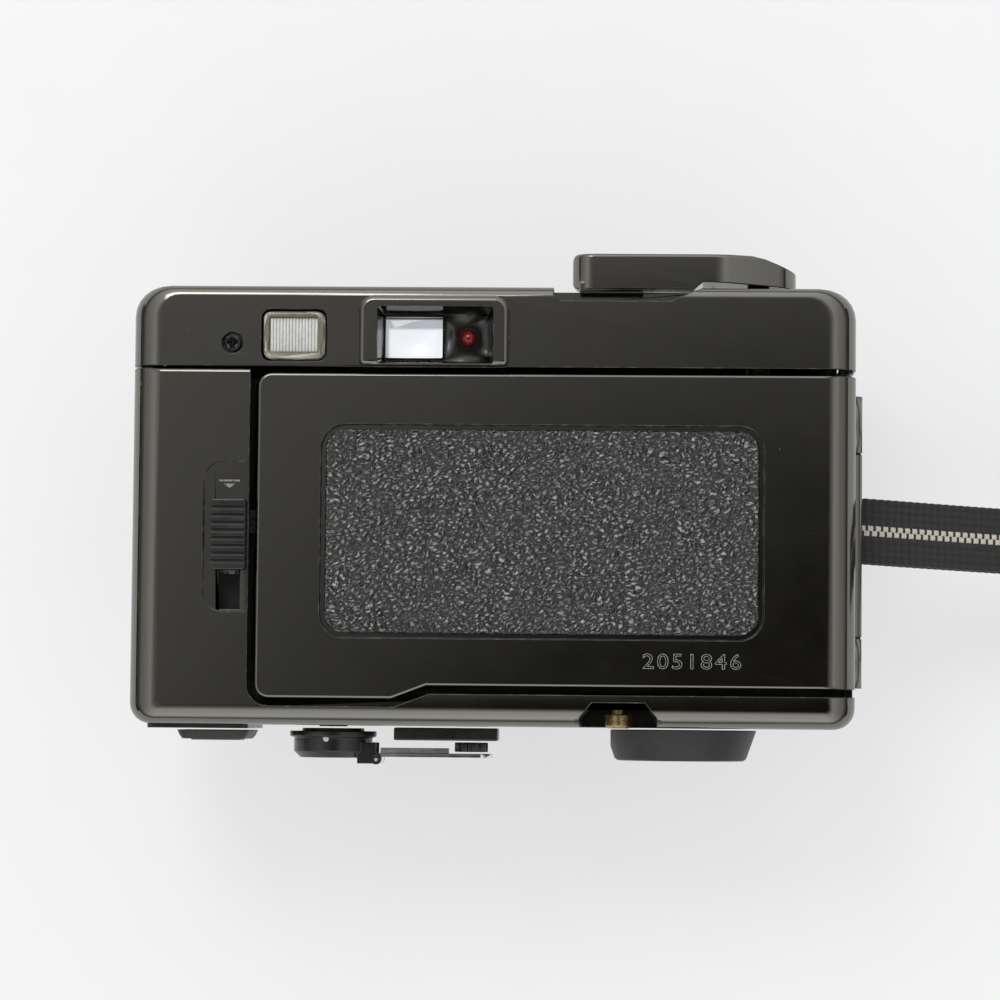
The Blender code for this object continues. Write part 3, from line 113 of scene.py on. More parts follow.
# Dark plates inside the casing, which stand in for the shade in its seams and slots
LINER_SHEET = 0.8
LINER_WALL = 1.9  # from the outside of the casing
LINER_HEIGHT = 39.2  # between the flash and the back of the top cover
LINER_BACK = 5.0  # from the back of the top cover
SEAM_BELOW, SEAM_ABOVE = 0.75, 0.42
FINDER_CLEARANCE = 0.3
SHAFT_CLEARANCE = 4.0
HINGE_SIDE = (4.9, 1.6)  # from the right side of the shell
HINGE_PLATE = (4.3, 5.1)  # above LINER_HEIGHT
HINGE_START = 2.0
LATCH_PLATE = (4.4, 4.05)  # below the back of the shell
LATCH_BELOW = 7.5

# Marks
NUMBER = "2051846"  # made up
NUMBER_HEIGHT = 3.55
NUMBER_WIDTH = 16.3
NUMBER_FROM_CORNER = (19.2, 5.5)  # from the lower right corner of the leather
NUMBER_LINE = 0.06
BAR = (1.75, 2.95, 3.25)  # half width, start and end above the latch slider
ARROW_BASE, ARROW_HALF, ARROW_DROP = 2.6, 1.0, 0.8
RECESS_DEPTH = 0.4
NOTCHES = 44
NOTCH_RADIUS = 10.95
NOTCH_DEPTH = 0.35
NOTCH_LAYERS = ((0.75, 1.0), (0.3, 1.0), (0.02, 0.975), (0.02, 0.9))  # above the boss's end, scale
DOT_RADIUS = 0.53
DOT_PLACE = (-0.7, 4.35, 6.62)  # across, up from the drum's end, and out from its axis
DOT_FLATTEN = 0.3
GRIP_RIDGES = 6
GRIP_START = 4.0
GRIP_PITCH = 1.7
GRIP_WIDTH = 0.75
GRIP_INSET = 2.0

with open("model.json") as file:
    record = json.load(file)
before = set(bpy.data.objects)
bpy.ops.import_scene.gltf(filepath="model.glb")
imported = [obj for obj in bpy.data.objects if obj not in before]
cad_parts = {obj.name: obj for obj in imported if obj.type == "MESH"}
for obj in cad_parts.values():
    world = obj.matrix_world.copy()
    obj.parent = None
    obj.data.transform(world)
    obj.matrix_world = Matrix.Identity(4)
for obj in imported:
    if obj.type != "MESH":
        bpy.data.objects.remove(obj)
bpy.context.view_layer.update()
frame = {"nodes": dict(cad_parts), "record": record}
NODES = frame["nodes"]
SLOTS = {part["node"]: part["material_slot"] for part in frame["record"]["subparts"]}


def box_mm(node):
    low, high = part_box(node)
    return low / MM, high / MM


def middle_mm(node):
    low, high = box_mm(node)
    return (low + high) / 2


SHELL_LOW, SHELL_HIGH = box_mm("body_shell")
COVER_LOW, COVER_HIGH = box_mm("top_cover")
MIDDLE = Vector(((SHELL_LOW.x + SHELL_HIGH.x) / 2, (SHELL_LOW.y + COVER_HIGH.y) / 2, 0.0))


# Materials

MIX_FIRST, MIX_SECOND, MIX_RESULT = 6, 7, 2  # the Mix node's sockets for colours


def feed(tree, socket, value):
    """Links a node's output to the socket, or gives the socket a fixed value."""
    if isinstance(value, bpy.types.NodeSocket):
        tree.links.new(value, socket)
    else:
        socket.default_value = value


class Look:
    """A Principled material, and short ways to wire nodes into it."""

    def __init__(self, name, colour, roughness, **sockets):
        self.material = bpy.data.materials.new(name)
        self.material.use_nodes = True
        self.tree = self.material.node_tree
        self.shader = self.tree.nodes["Principled BSDF"]
        self.set("Base Color", (*colour, 1.0))
        self.set("Roughness", roughness)
        for socket, value in sockets.items():
            self.set(socket.replace("_", " "), value)
        self.place = self.node("ShaderNodeTexCoord").outputs["Object"]

    def set(self, socket, value):
        self.shader.inputs[socket].default_value = value

    def node(self, kind, inputs=None, **settings):
        made = self.tree.nodes.new(kind)
        for key, value in settings.items():
            setattr(made, key, value)
        for key, value in (inputs or {}).items():
            feed(self.tree, made.inputs[key], value)
        return made

    def wire(self, source, socket):
        self.tree.links.new(source, self.shader.inputs[socket])

    def axis(self, name):
        """The place along one axis, in metres."""
        return self.node("ShaderNodeSeparateXYZ", {"Vector": self.place}).outputs[name]

    def spread(self, stretch=(1, 1, 1), turn=(0, 0, 0)):
        turn = [math.radians(t) for t in turn]
        inputs = {"Vector": self.place, "Rotation": turn, "Scale": stretch}
        return self.node("ShaderNodeMapping", inputs).outputs["Vector"]

    def noise(self, size, detail=3.0, stretch=(1, 1, 1), turn=(0, 0, 0)):
        """Noise whose features are about this many millimetres long."""
        where = self.spread(stretch, turn)
        inputs = {"Vector": where, "Scale": 1 / (size * MM), "Detail": detail}
        return self.node("ShaderNodeTexNoise", inputs).outputs["Fac"]

    def between(self, value, start, end, low=0.0, high=1.0):
        """Low at the start and before it, high at the end and after it."""
        made = self.node("ShaderNodeMapRange", {
            "Value": value, "From Min": start, "From Max": end, "To Min": low, "To Max": high,
        })
        return made.outputs["Result"]

    def maths(self, operation, first, second):
        return self.node("ShaderNodeMath", {0: first, 1: second}, operation=operation).outputs[0]

    def mix(self, share, first, second):
        """A colour between two colours, each a node's output or a fixed one."""
        made = self.node("ShaderNodeMix", {"Factor": share}, data_type="RGBA")
        for index, colour in ((MIX_FIRST, first), (MIX_SECOND, second)):
            if not isinstance(colour, bpy.types.NodeSocket):
                colour = (*colour, 1.0)
            feed(self.tree, made.inputs[index], colour)
        return made.outputs[MIX_RESULT]

    def paint(self, share, first, second):
        """Makes the base colour a mix of two colours."""
        self.wire(self.mix(share, first, second), "Base Color")

    def specks(self, spacing, radius, share):
        """A mask of round dust specks, in this share of cells of this spacing."""
        dots = self.node("ShaderNodeTexVoronoi", {
            "Vector": self.place, "Scale": 1 / (spacing * MM),
        })
        reach = radius / spacing
        near = self.between(dots.outputs["Distance"], reach, 0.6 * reach)
        split = self.node("ShaderNodeSeparateColor", {"Color": dots.outputs["Color"]})
        return self.maths("MULTIPLY", near, self.maths("LESS_THAN", split.outputs["Red"], share))

    def hairlines(self, turn, amount):
        """A mask of thin straight scratches along one direction."""
        lines = self.between(self.noise(0.22, 1.0, (0.012, 1.0, 0.012), (0, 0, turn)), 0.70, 0.76)
        patches = self.between(self.noise(9.0, 1.0), 0.5, 0.7, 0.0, amount)
        return self.maths("MULTIPLY", lines, patches)

    def bump(self, height, depth, strength=1.0):
        """Bumps as deep as this many millimetres."""
        inputs = {"Height": height, "Strength": strength, "Distance": depth * MM}
        self.wire(self.node("ShaderNodeBump", inputs).outputs["Normal"], "Normal")


def make_black_paint():
    """Glossy paint with hairlines and dust."""
    look = Look("black_paint", (0.006, 0.0055, 0.004), 0.2, Specular_IOR_Level=1.0)
    olive, brown = (0.0034, 0.0030, 0.0013), (0.0026, 0.0023, 0.0013)
    scratched, dusty = (0.06, 0.056, 0.05), (0.45, 0.45, 0.43)
    colour = look.mix(look.between(look.noise(28.0, 2.0), 0.35, 0.65), brown, olive)
    scratches = look.maths("MAXIMUM", look.hairlines(18.0, 0.22), look.hairlines(-52.0, 0.12))
    colour = look.mix(scratches, colour, scratched)
    look.paint(look.maths("MULTIPLY", look.specks(2.6, 0.11, 0.10), 0.7), colour, dusty)
    look.wire(look.between(look.noise(7.0, 4.0), 0.35, 0.7, 0.11, 0.14), "Roughness")
    look.set("Specular Tint", (1.0, 0.975, 0.88, 1.0))
    look.set("IOR", 1.75)
    look.bump(look.noise(0.5, 2.0), 0.004, 0.4)
    return look.material


def make_worn_edge():
    """Paint rubbed thin along the edges."""
    look = Look("worn_edge", (0.04, 0.036, 0.03), 0.3)
    wear_and_glint_mask = look.between(look.noise(1.6, 4.0), 0.5, 0.68)
    look.paint(wear_and_glint_mask, (0.012, 0.0115, 0.01), (0.07, 0.066, 0.058))
    return look.material


def make_black_plastic():
    look = Look("black_plastic", (0.008, 0.0078, 0.007), 0.3, Specular_IOR_Level=0.6)
    dark, light, dusty = (0.006, 0.0058, 0.0052), (0.010, 0.0095, 0.0085), (0.4, 0.4, 0.38)
    colour = look.mix(look.between(look.noise(6.0, 3.0), 0.35, 0.7), dark, light)
    look.paint(look.maths("MULTIPLY", look.specks(2.2, 0.1, 0.08), 0.7), colour, dusty)
    look.wire(look.between(look.noise(3.0, 3.0), 0.3, 0.7, 0.24, 0.38), "Roughness")
    look.bump(look.noise(0.3, 2.0), 0.006, 0.5)
    return look.material


def make_grained_plastic():
    look = Look("grained_plastic", (0.014, 0.0135, 0.0125), 0.5)
    look.paint(look.noise(2.0, 3.0), (0.010, 0.0095, 0.009), (0.02, 0.019, 0.0175))
    look.bump(look.noise(0.35, 3.0), 0.09, 1.0)
    return look.material


def make_leather():
    """Black grained leatherette, with painted glints: pale patches on the crests that stand in for
    highlights on the grain.
    """
    look = Look("leather", (0.006, 0.006, 0.006), 0.2, Specular_IOR_Level=0.6)
    black, pale, dusty = (0.005, 0.005, 0.0048), (0.34, 0.34, 0.33), (0.6, 0.6, 0.6)
    face = box_mm("door_leather")[1].z
    # Painted highlight: pale colour on patches of the crests stands in for the glints of light on
    # the grain
    crest = look.between(look.axis("Z"), (face - 0.16) * MM, (face + 0.12) * MM)
    patches = look.noise(0.62, 3.0, (1.0, 1.5, 1.0), (0, 0, PEBBLE_LEAN))
    wear_and_glint_mask = look.maths("MULTIPLY", look.between(patches, 0.45, 0.62), crest)
    dust = look.maths("MULTIPLY", look.specks(3.4, 0.12, 0.12), 0.8)
    look.paint(dust, look.mix(wear_and_glint_mask, black, pale), dusty)
    look.wire(look.between(look.noise(0.6, 3.0), 0.3, 0.7, 0.14, 0.28), "Roughness")
    look.bump(look.noise(0.45, 3.0), 0.12, 1.0)
    return look.material


def make_front_leather():
    """The same leatherette for the flat CAD panels, with its grain as bumps and painted shade in
    the creases between its pebbles.
    """
    look = Look("front_leather", (0.035, 0.036, 0.038), 0.4)
    where = look.spread((1 / PEBBLE[0], 1 / PEBBLE[1], 0.0), (0, 0, PEBBLE_LEAN))
    cells = look.node(
        "ShaderNodeTexVoronoi", {"Vector": where, "Scale": 1 / MM}, feature="DISTANCE_TO_EDGE",
    )
    raised = look.between(cells.outputs["Distance"], 0.0, 0.16)
    # Painted shade: the creases between the pebbles are darker than their raised tops
    look.paint(raised, (0.014, 0.0145, 0.015), (0.042, 0.043, 0.045))
    look.bump(raised, 0.2, 1.0)
    return look.material


def make_metal(name, dull, bright, roughness, grain=(1, 1, 1)):
    look = Look(name, bright, roughness, Metallic=1.0)
    look.paint(look.between(look.noise(0.8, 4.0, grain), 0.3, 0.7), dull, bright)
    smooth, rough = roughness * 0.75, roughness * 1.3
    look.wire(look.between(look.noise(0.4, 3.0, grain), 0.3, 0.7, smooth, rough), "Roughness")
    look.bump(look.noise(0.25, 2.0, grain), 0.004, 0.5)
    return look.material


def make_matt_black():
    look = Look("matt_black", (0.012, 0.012, 0.012), 0.75)
    look.paint(look.noise(1.5, 4.0), (0.008, 0.008, 0.008), (0.019, 0.019, 0.0195))
    look.bump(look.noise(0.25, 3.0), 0.04, 0.8)
    return look.material


def make_glass():
    look = Look("glass", (0.94, 0.96, 0.98), 0.03, Transmission_Weight=1.0, IOR=1.5)
    look.wire(look.between(look.noise(3.0, 3.0), 0.4, 0.7, 0.02, 0.06), "Roughness")
    return look.material


def make_clear_plastic():
    look = Look("clear_plastic", (0.93, 0.90, 0.78), 0.06, Transmission_Weight=0.92, IOR=1.49)
    look.paint(look.noise(1.5, 3.0), (0.86, 0.80, 0.60), (0.96, 0.95, 0.88))
    look.bump(look.noise(0.6, 2.0), 0.01, 0.6)
    return look.material


def make_ribbed_lens():
    look = Look("ribbed_lens", (0.8, 0.8, 0.78), 0.12, Transmission_Weight=0.25, IOR=1.49)
    look.paint(look.noise(0.9, 3.0), (0.55, 0.56, 0.55), (0.9, 0.9, 0.88))
    return look.material


def make_finder_painted_light():
    """What the eyepiece shows, as painted light: a glowing pane, bright, with painted shade as a
    greyer band under its upper edge, a greyer strip along one side and a dark line at the top.
    """
    look = Look("finder_painted_light", (0.95, 0.96, 0.97), 0.4)
    low, high = box_mm("eyepiece_glass")
    up, across = look.axis("Y"), look.axis("X")
    # Painted shade: a greyer band under the upper edge, a greyer strip along one side and a dark
    # line along the upper edge
    band = look.between(up, (high.y - 2.2) * MM, (high.y - 1.75) * MM)
    edge = look.between(up, (high.y - 0.5) * MM, (high.y - 0.35) * MM)
    side = look.between(across, (low.x + 0.75) * MM, (low.x + 0.45) * MM)
    colour = look.mix(band, (0.95, 0.96, 0.97), (0.48, 0.49, 0.50))
    colour = look.mix(side, colour, (0.55, 0.56, 0.57))
    colour = look.mix(edge, colour, (0.03, 0.03, 0.03))
    look.wire(colour, "Base Color")
    # The pane glows, painted light that stands in for the bright view seen through the finder
    look.wire(colour, "Emission Color")
    look.set("Emission Strength", 0.55)
    return look.material


def make_red_plastic():
    look = Look("red_plastic", (0.16, 0.003, 0.003), 0.12, Transmission_Weight=0.2, IOR=1.5)
    look.paint(look.noise(0.8, 2.0), (0.10, 0.002, 0.002), (0.24, 0.004, 0.004))
    return look.material


def make_battery_jacket():
    """A copper-coloured band at one end, and dark film over the rest."""
    look = Look("battery_jacket", (0.1, 0.11, 0.13), 0.32)
    band = look.between(look.axis("Y"), -12.0 * MM, -11.8 * MM)
    look.paint(band, (0.33, 0.22, 0.07), (0.03, 0.03, 0.034))
    return look.material


def make_lamp_reflector():
    look = Look("lamp_tray", (0.6, 0.56, 0.42), 0.3)
    look.paint(look.noise(0.8, 2.0), (0.42, 0.38, 0.26), (0.72, 0.69, 0.56))
    return look.material


def make_yarn(name, dark, light):
    look = Look(name, light, 0.8, Sheen_Weight=0.35, Sheen_Roughness=0.4)
    look.paint(look.noise(0.35, 4.0), dark, light)
    look.bump(look.noise(0.12, 2.0, (1.0, 3.0, 1.0)), 0.05, 0.9)
    return look.material


def make_marking(name, colour, worn):
    look = Look(name, colour, 0.5)
    look.paint(look.between(look.noise(0.5, 4.0), 0.45, 0.7), colour, worn)
    return look.material


def make_table_white():
    look = Look("white_table", (0.34, 0.34, 0.342), 0.75)
    look.paint(look.noise(14.0, 5.0), (0.325, 0.326, 0.33), (0.345, 0.345, 0.345))
    look.set("Specular IOR Level", 0.2)
    look.set("Emission Color", (1.0, 1.0, 1.0, 1.0))
    look.set("Emission Strength", TABLE_GLOW)
    return look.material


LOOKS = {
    "black_paint": make_black_paint(),
    "black_plastic": make_black_plastic(),
    "leather": make_front_leather(),
    "matt_black": make_matt_black(),
    "steel": make_metal("steel", (0.32, 0.32, 0.33), (0.55, 0.55, 0.56), 0.32),
    "chrome": make_metal("chrome", (0.66, 0.64, 0.60), (0.88, 0.86, 0.82), 0.14, (0.2, 1.0, 1.0)),
    "brass": make_metal("brass", (0.20, 0.15, 0.07), (0.48, 0.37, 0.18), 0.34),
    "glass": make_glass(),
    "clear_plastic": make_clear_plastic(),
    "red_plastic": make_red_plastic(),
    "battery_jacket": make_battery_jacket(),
    "webbing": make_yarn("webbing", (0.006, 0.006, 0.006), (0.022, 0.022, 0.021)),
}
WORN_EDGE = make_worn_edge()
GRAINED = make_grained_plastic()


# CAD pieces that stay

def round_edges(obj, width, painted):
    edge = obj.modifiers.new("edges", "BEVEL")
    edge.width = width * MM
    edge.segments = 2
    edge.limit_method = "ANGLE"
    edge.angle_limit = math.radians(SHARP_ANGLE)
    edge.use_clamp_overlap = False
    if painted:
        obj.data.materials.append(WORN_EDGE)
        edge.material = 1
    normals = obj.modifiers.new("normals", "WEIGHTED_NORMAL")
    normals.keep_sharp = False
    normals.weight = 60


def finish_nodes():
    """Gives each CAD piece its material, and some a small rounding that catches light."""
    for name, obj in NODES.items():
        obj.data.materials.clear()
        obj.data.materials.append(LOOKS[SLOTS[name]])
        for polygon in obj.data.polygons:
            polygon.use_smooth = True
            polygon.material_index = 0
        weld = obj.modifiers.new("weld", "WELD")
        weld.merge_threshold = 0.002 * MM
        flat = obj.modifiers.new("flat_faces", "DECIMATE")
        flat.decimate_type = "DISSOLVE"
        flat.angle_limit = math.radians(0.4)
        if name in EDGE_WIDTH:
            round_edges(obj, EDGE_WIDTH[name], name in PAINTED)
        else:
            obj.data.set_sharp_from_angle(angle=math.radians(SHARP_ANGLE))
    blackened = make_metal("blackened_steel", (0.02, 0.02, 0.02), (0.06, 0.058, 0.055), 0.3)
    for name, material in (
        ("tripod_boss", GRAINED), ("base_foot", GRAINED),
        ("wind_lever", LOOKS["black_paint"]), ("cover_screw", blackened),
    ):
        NODES[name].data.materials[0] = material


# New pieces

def add_piece(name, mesh, materials, body, slot, *stands_for):
    for material in materials:
        mesh.materials.append(material)
    obj = bpy.data.objects.new(name, mesh)
    bpy.context.scene.collection.objects.link(obj)
    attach(obj, body)
    if stands_for:
        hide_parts(*stands_for)
    return obj


def mesh_from(points, faces):
    """A smooth mesh from points in millimetres."""
    mesh = bpy.data.meshes.new("piece")
    mesh.from_pydata([tuple(p) for p in np.asarray(points) * MM], [], faces)
    mesh.validate()
    mesh.shade_smooth()
    return mesh


def grid_faces(index):
    """Faces between the neighbours in a grid of point numbers."""
    corners = [index[:-1, :-1], index[1:, :-1], index[1:, 1:], index[:-1, 1:]]
    return np.stack(corners, axis=-1).reshape(-1, 4).tolist()


def mesh_of(bm, sharp=35):
    """A mesh of a bmesh in millimetres, with creases sharper than this many degrees kept."""
    bmesh.ops.recalc_face_normals(bm, faces=bm.faces)
    bmesh.ops.scale(bm, vec=(MM, MM, MM), verts=bm.verts)
    mesh = bpy.data.meshes.new("piece")
    bm.to_mesh(mesh)
    bm.free()
    mesh.shade_smooth()
    mesh.set_sharp_from_angle(angle=math.radians(sharp))
    return mesh


def add_box(bm, low, high, rounding=0.0):
    """A box in a bmesh that is in millimetres, with its edges rounded."""
    size = [b - a for a, b in zip(low, high)]
    centre = [(a + b) / 2 for a, b in zip(low, high)]
    place = Matrix.Translation(centre) @ Matrix.Diagonal((*size, 1.0))
    made = bmesh.ops.create_cube(bm, size=1.0, matrix=place)
    if rounding:
        edges = list({edge for vert in made["verts"] for edge in vert.link_edges})
        bmesh.ops.bevel(
            bm, geom=edges, offset=rounding, segments=2, profile=0.5, affect="EDGES",
        )


def join_rings(bm, rings):
    """Faces between closed rings of vertices that follow one another."""
    for ring, following in zip(rings, rings[1:]):
        for i in range(len(ring)):
            j = (i + 1) % len(ring)
            bm.faces.new((ring[i], ring[j], following[j], following[i]))


def lattice(x, y, seed):
    """Smooth noise between -1 and 1, with one random value at each whole number."""
    values = np.random.default_rng(seed).uniform(-1, 1, (256, 256))
    i, j = np.floor(x).astype(int), np.floor(y).astype(int)
    u, v = x - i, y - j
    u, v = u * u * (3 - 2 * u), v * v * (3 - 2 * v)
    low = values[i % 256, j % 256] * (1 - u) + values[(i + 1) % 256, j % 256] * u
    high = values[i % 256, (j + 1) % 256] * (1 - u) + values[(i + 1) % 256, (j + 1) % 256] * u
    return low * (1 - v) + high * v


def pebbles(x, y, seed):
    """Plateaus with creases between them, from 0 to 1: one pebble for each unit square."""
    px, py = np.random.default_rng(seed).uniform(0.05, 0.95, (2, 256, 256))
    i, j = np.floor(x).astype(int), np.floor(y).astype(int)
    near = np.full(x.shape, 9.0)
    second = near.copy()
    for a in (-1, 0, 1):
        for b in (-1, 0, 1):
            k, m = i + a, j + b
            distance = np.hypot(k + px[k % 256, m % 256] - x, m + py[k % 256, m % 256] - y)
            second = np.minimum(second, np.maximum(near, distance))
            near = np.minimum(near, distance)
    edge = np.clip((second - near) / 0.42, 0, 1)
    return edge * edge * (3 - 2 * edge) * (1 - 0.35 * near)


def leather_relief(x, y):
    """Height of the grain between about -1 and 0 at places in millimetres."""
    lean = math.radians(PEBBLE_LEAN)
    bend_x = x + 0.75 * lattice(x / 2.4, y / 2.4, 11) + 0.3 * lattice(x / 0.8, y / 0.8, 12)
    bend_y = y + 0.75 * lattice(x / 2.4, y / 2.4, 13) + 0.3 * lattice(x / 0.8, y / 0.8, 14)
    u = (bend_x * math.cos(lean) + bend_y * math.sin(lean)) / PEBBLE[0]
    v = (bend_y * math.cos(lean) - bend_x * math.sin(lean)) / PEBBLE[1]
    coarse = pebbles(u + 100, v + 100, 21)
    fine = pebbles(2.1 * u + 40, 2.1 * v + 40, 22)
    swell = 0.5 + 0.5 * lattice(x / 3.1, y / 3.1, 15)
    return coarse * (0.75 + 0.25 * swell) + 0.22 * fine - 1.0


def make_door_leather():
    """The leatherette in the door, a closed sheet with its grain as real relief."""
    low, high = box_mm("door_leather")
    middle, half = (low + high) / 2, (high - low) / 2
    columns = round(2 * half.x / LEATHER_STEP)
    rows = round(2 * half.y / LEATHER_STEP)
    t = np.linspace(-1, 1, rows + 1)
    y = half.y * np.sin(t * math.pi / 2) * 0.12 + half.y * t * 0.88
    over = np.clip(np.abs(y) - (half.y - LEATHER_CORNER), 0, LEATHER_CORNER)
    reach = half.x - LEATHER_CORNER + np.sqrt(LEATHER_CORNER**2 - over**2)
    x = np.linspace(-1, 1, columns + 1)[:, None] * reach[None, :]
    y = np.broadcast_to(y[None, :], x.shape)
    inside = np.minimum(reach[None, :] - np.abs(x), half.y - np.abs(y))
    rim = np.clip(inside / LEATHER_RIM, 0, 1)
    grain = LEATHER_DEPTH * leather_relief(x, y) * (0.5 + 0.5 * rim)
    z = high.z + 0.1 + grain - 0.3 * (1 - rim) ** 2
    top = np.stack([x + middle.x, y + middle.y, z], axis=-1).reshape(-1, 3)
    index = np.arange(len(top)).reshape(columns + 1, rows + 1)
    border = np.concatenate([index[:-1, 0], index[-1, :-1], index[:0:-1, -1], index[0, :0:-1]])
    skirt = top[border] * (1, 1, 0) + (0, 0, low.z)
    under = np.arange(len(border)) + len(top)
    walls = np.stack([border, under, np.roll(under, -1), np.roll(border, -1)], axis=-1)
    faces = grid_faces(index) + walls.tolist() + [under[::-1].tolist()]
    mesh = mesh_from(np.vstack([top, skirt]), faces)
    add_piece("leatherette", mesh, [make_leather()], "door", "leather", "door_leather")


def smooth_route(points, per_span):
    """Points of a Catmull-Rom curve through the given ones."""
    route = []
    padded = [points[0]] + points + [points[-1]]
    for a, b, c, d in zip(padded, padded[1:], padded[2:], padded[3:]):
        for i in range(per_span):
            t = i / per_span
            route.append([
                0.5 * (
                    2 * q + (r - p) * t + (2 * p - 5 * q + 4 * r - s) * t**2
                    + (3 * q - p - 3 * r + s) * t**3
                )
                for p, q, r, s in zip(a, b, c, d)
            ])
    return np.array(route + [list(points[-1])])


def even_steps(line, step):
    """The line's points again at equal steps of about this length, and how far along each is."""
    run = np.concatenate([[0.0], np.cumsum(np.linalg.norm(np.diff(line, axis=0), axis=1))])
    count = max(2, round(run[-1] / step))
    wanted = np.linspace(0, run[-1], count + 1)
    columns = [np.interp(wanted, run, line[:, k]) for k in range(line.shape[1])]
    return np.stack(columns, axis=-1), wanted


def strap_section():
    """Across the webbing: place, yarn number and how full the yarn is there."""
    spots, start = [], -STRAP_WIDTH / 2
    for yarn, width in enumerate(YARN_WIDTHS):
        for share in (0.0, 0.2, 0.5, 0.8):
            full = math.sqrt(1 - (2 * share - 1) ** 2)
            spots.append((start + share * width, yarn, full))
        start += width
    return spots + [(STRAP_WIDTH / 2, len(YARN_WIDTHS) - 1, 0.0)]


def strap_line():
    """The middle of the webbing in space, and how far along each of its points is."""
    plane = smooth_route(STRAP_ROUTE, 10)
    away = plane[:, 0] - (SHELL_HIGH.x - MIDDLE.x)
    x = plane[:, 0] + MIDDLE.x
    y = STRAP_Y + STRAP_DRIFT * away + MIDDLE.y
    return even_steps(np.stack([x, y, plane[:, 1]], axis=-1), RIB_PITCH / STEPS_PER_RIB)


def make_strap():
    """Ribbed webbing along the strap's route, with two zigzag cream yarns in its middle."""
    line, along = strap_line()
    ahead = np.gradient(line, axis=0)
    ahead /= np.linalg.norm(ahead, axis=1)[:, None]
    normal = np.stack([-ahead[:, 2], np.zeros(len(line)), ahead[:, 0]], axis=-1)
    normal /= np.linalg.norm(normal, axis=1)[:, None]
    spots = strap_section()
    rib = along / RIB_PITCH
    points, tags = [], []
    for side in (1, -1):
        for across, yarn, full in spots if side > 0 else spots[::-1]:
            cream = yarn in CREAM_YARNS
            phase = rib + (0.5 if yarn % 2 and cream else 0.0)
            hump = np.abs(np.sin(math.pi * phase)) ** (0.9 if cream else 0.55)
            height = CORE + (0.28 if cream else 0.25) * hump * full**0.7
            at_edge = abs(across) > STRAP_WIDTH / 2 - SELVAGE
            edge = SELVAGE_WAVE * hump if at_edge else 0.0
            place = line + normal * (side * height)[:, None]
            place[:, 1] += across + np.sign(across) * (edge - (SELVAGE_WAVE if at_edge else 0))
            points.append(place)
            tags.append((yarn, side))
    ring = len(points)
    grid = np.stack(points, axis=1)
    index = np.arange(len(line) * ring).reshape(len(line), ring)
    quads, marks = [], []
    for k in range(ring):
        n = (k + 1) % ring
        corners = [index[:-1, k], index[:-1, n], index[1:, n], index[1:, k]]
        quads.append(np.stack(corners, axis=-1))
        yarn = tags[k][0] if tags[k][1] > 0 else tags[n][0]
        phase = (rib[:-1] + rib[1:]) / 2 + (0.5 if yarn % 2 else 0.0)
        shown = np.abs(phase % 1.0 - 0.5) < 0.36
        marks.append(np.where(shown & (yarn in CREAM_YARNS), 1, 0))
    ends = [index[0, ::-1].tolist(), index[-1].tolist()]
    mesh = mesh_from(grid.reshape(-1, 3), np.concatenate(quads).tolist() + ends)
    marks = np.concatenate(marks + [[0, 0]]).astype(np.int32)
    mesh.polygons.foreach_set("material_index", marks)
    cream = make_yarn("cream_yarn", (0.36, 0.34, 0.29), (0.68, 0.65, 0.57))
    yarns = [LOOKS["webbing"], cream]
    strap = add_piece("strap_webbing", mesh, yarns, "casing", "webbing", "wrist_strap")


def make_ready_lamp():
    """The ribbed lens inside the lamp's clear frame."""
    low, high = box_mm("ready_lamp_lens")
    steps = LAMP_RIBS * STEPS_PER_LAMP_RIB + 1
    xs = np.linspace(low.x + RIB_INSET, high.x - RIB_INSET, steps)
    share = np.linspace(0, LAMP_RIBS, steps)
    crown = np.sqrt(np.clip(1 - (2 * (share % 1.0) - 1) ** 2, 0, 1))
    start, end = low.y + RIB_INSET, high.y - RIB_INSET
    ys = np.array([start, start + RIB_END, end - RIB_END, end])
    drop = np.array([RIB_END, 0.0, 0.0, RIB_END])
    z = high.z - RIB_LOW + RIB_HEIGHT * crown[:, None] - drop[None, :]
    x, y = np.broadcast_to(xs[:, None], z.shape), np.broadcast_to(ys[None, :], z.shape)
    top = np.stack([x, y, z], axis=-1)
    mesh = mesh_from(top.reshape(-1, 3), grid_faces(np.arange(z.size).reshape(z.shape)))
    mesh.set_sharp_from_angle(angle=math.radians(50))
    add_piece("ready_lamp_ribs", mesh, [make_ribbed_lens()], "casing", "clear_plastic")


def make_lamp_tray():
    """A pale reflector under the lamp's clear frame, which its rim rests on."""
    low, high = box_mm("ready_lamp_lens")
    bm = bmesh.new()
    add_box(
        bm,
        (low.x + TRAY_INSET, low.y + TRAY_INSET, low.z - TRAY_BOTTOM),
        (high.x - TRAY_INSET, high.y - TRAY_INSET, low.z - TRAY_TOP),
    )
    mesh = mesh_of(bm)
    add_piece("ready_lamp_tray", mesh, [make_lamp_reflector()], "casing", "clear_plastic")


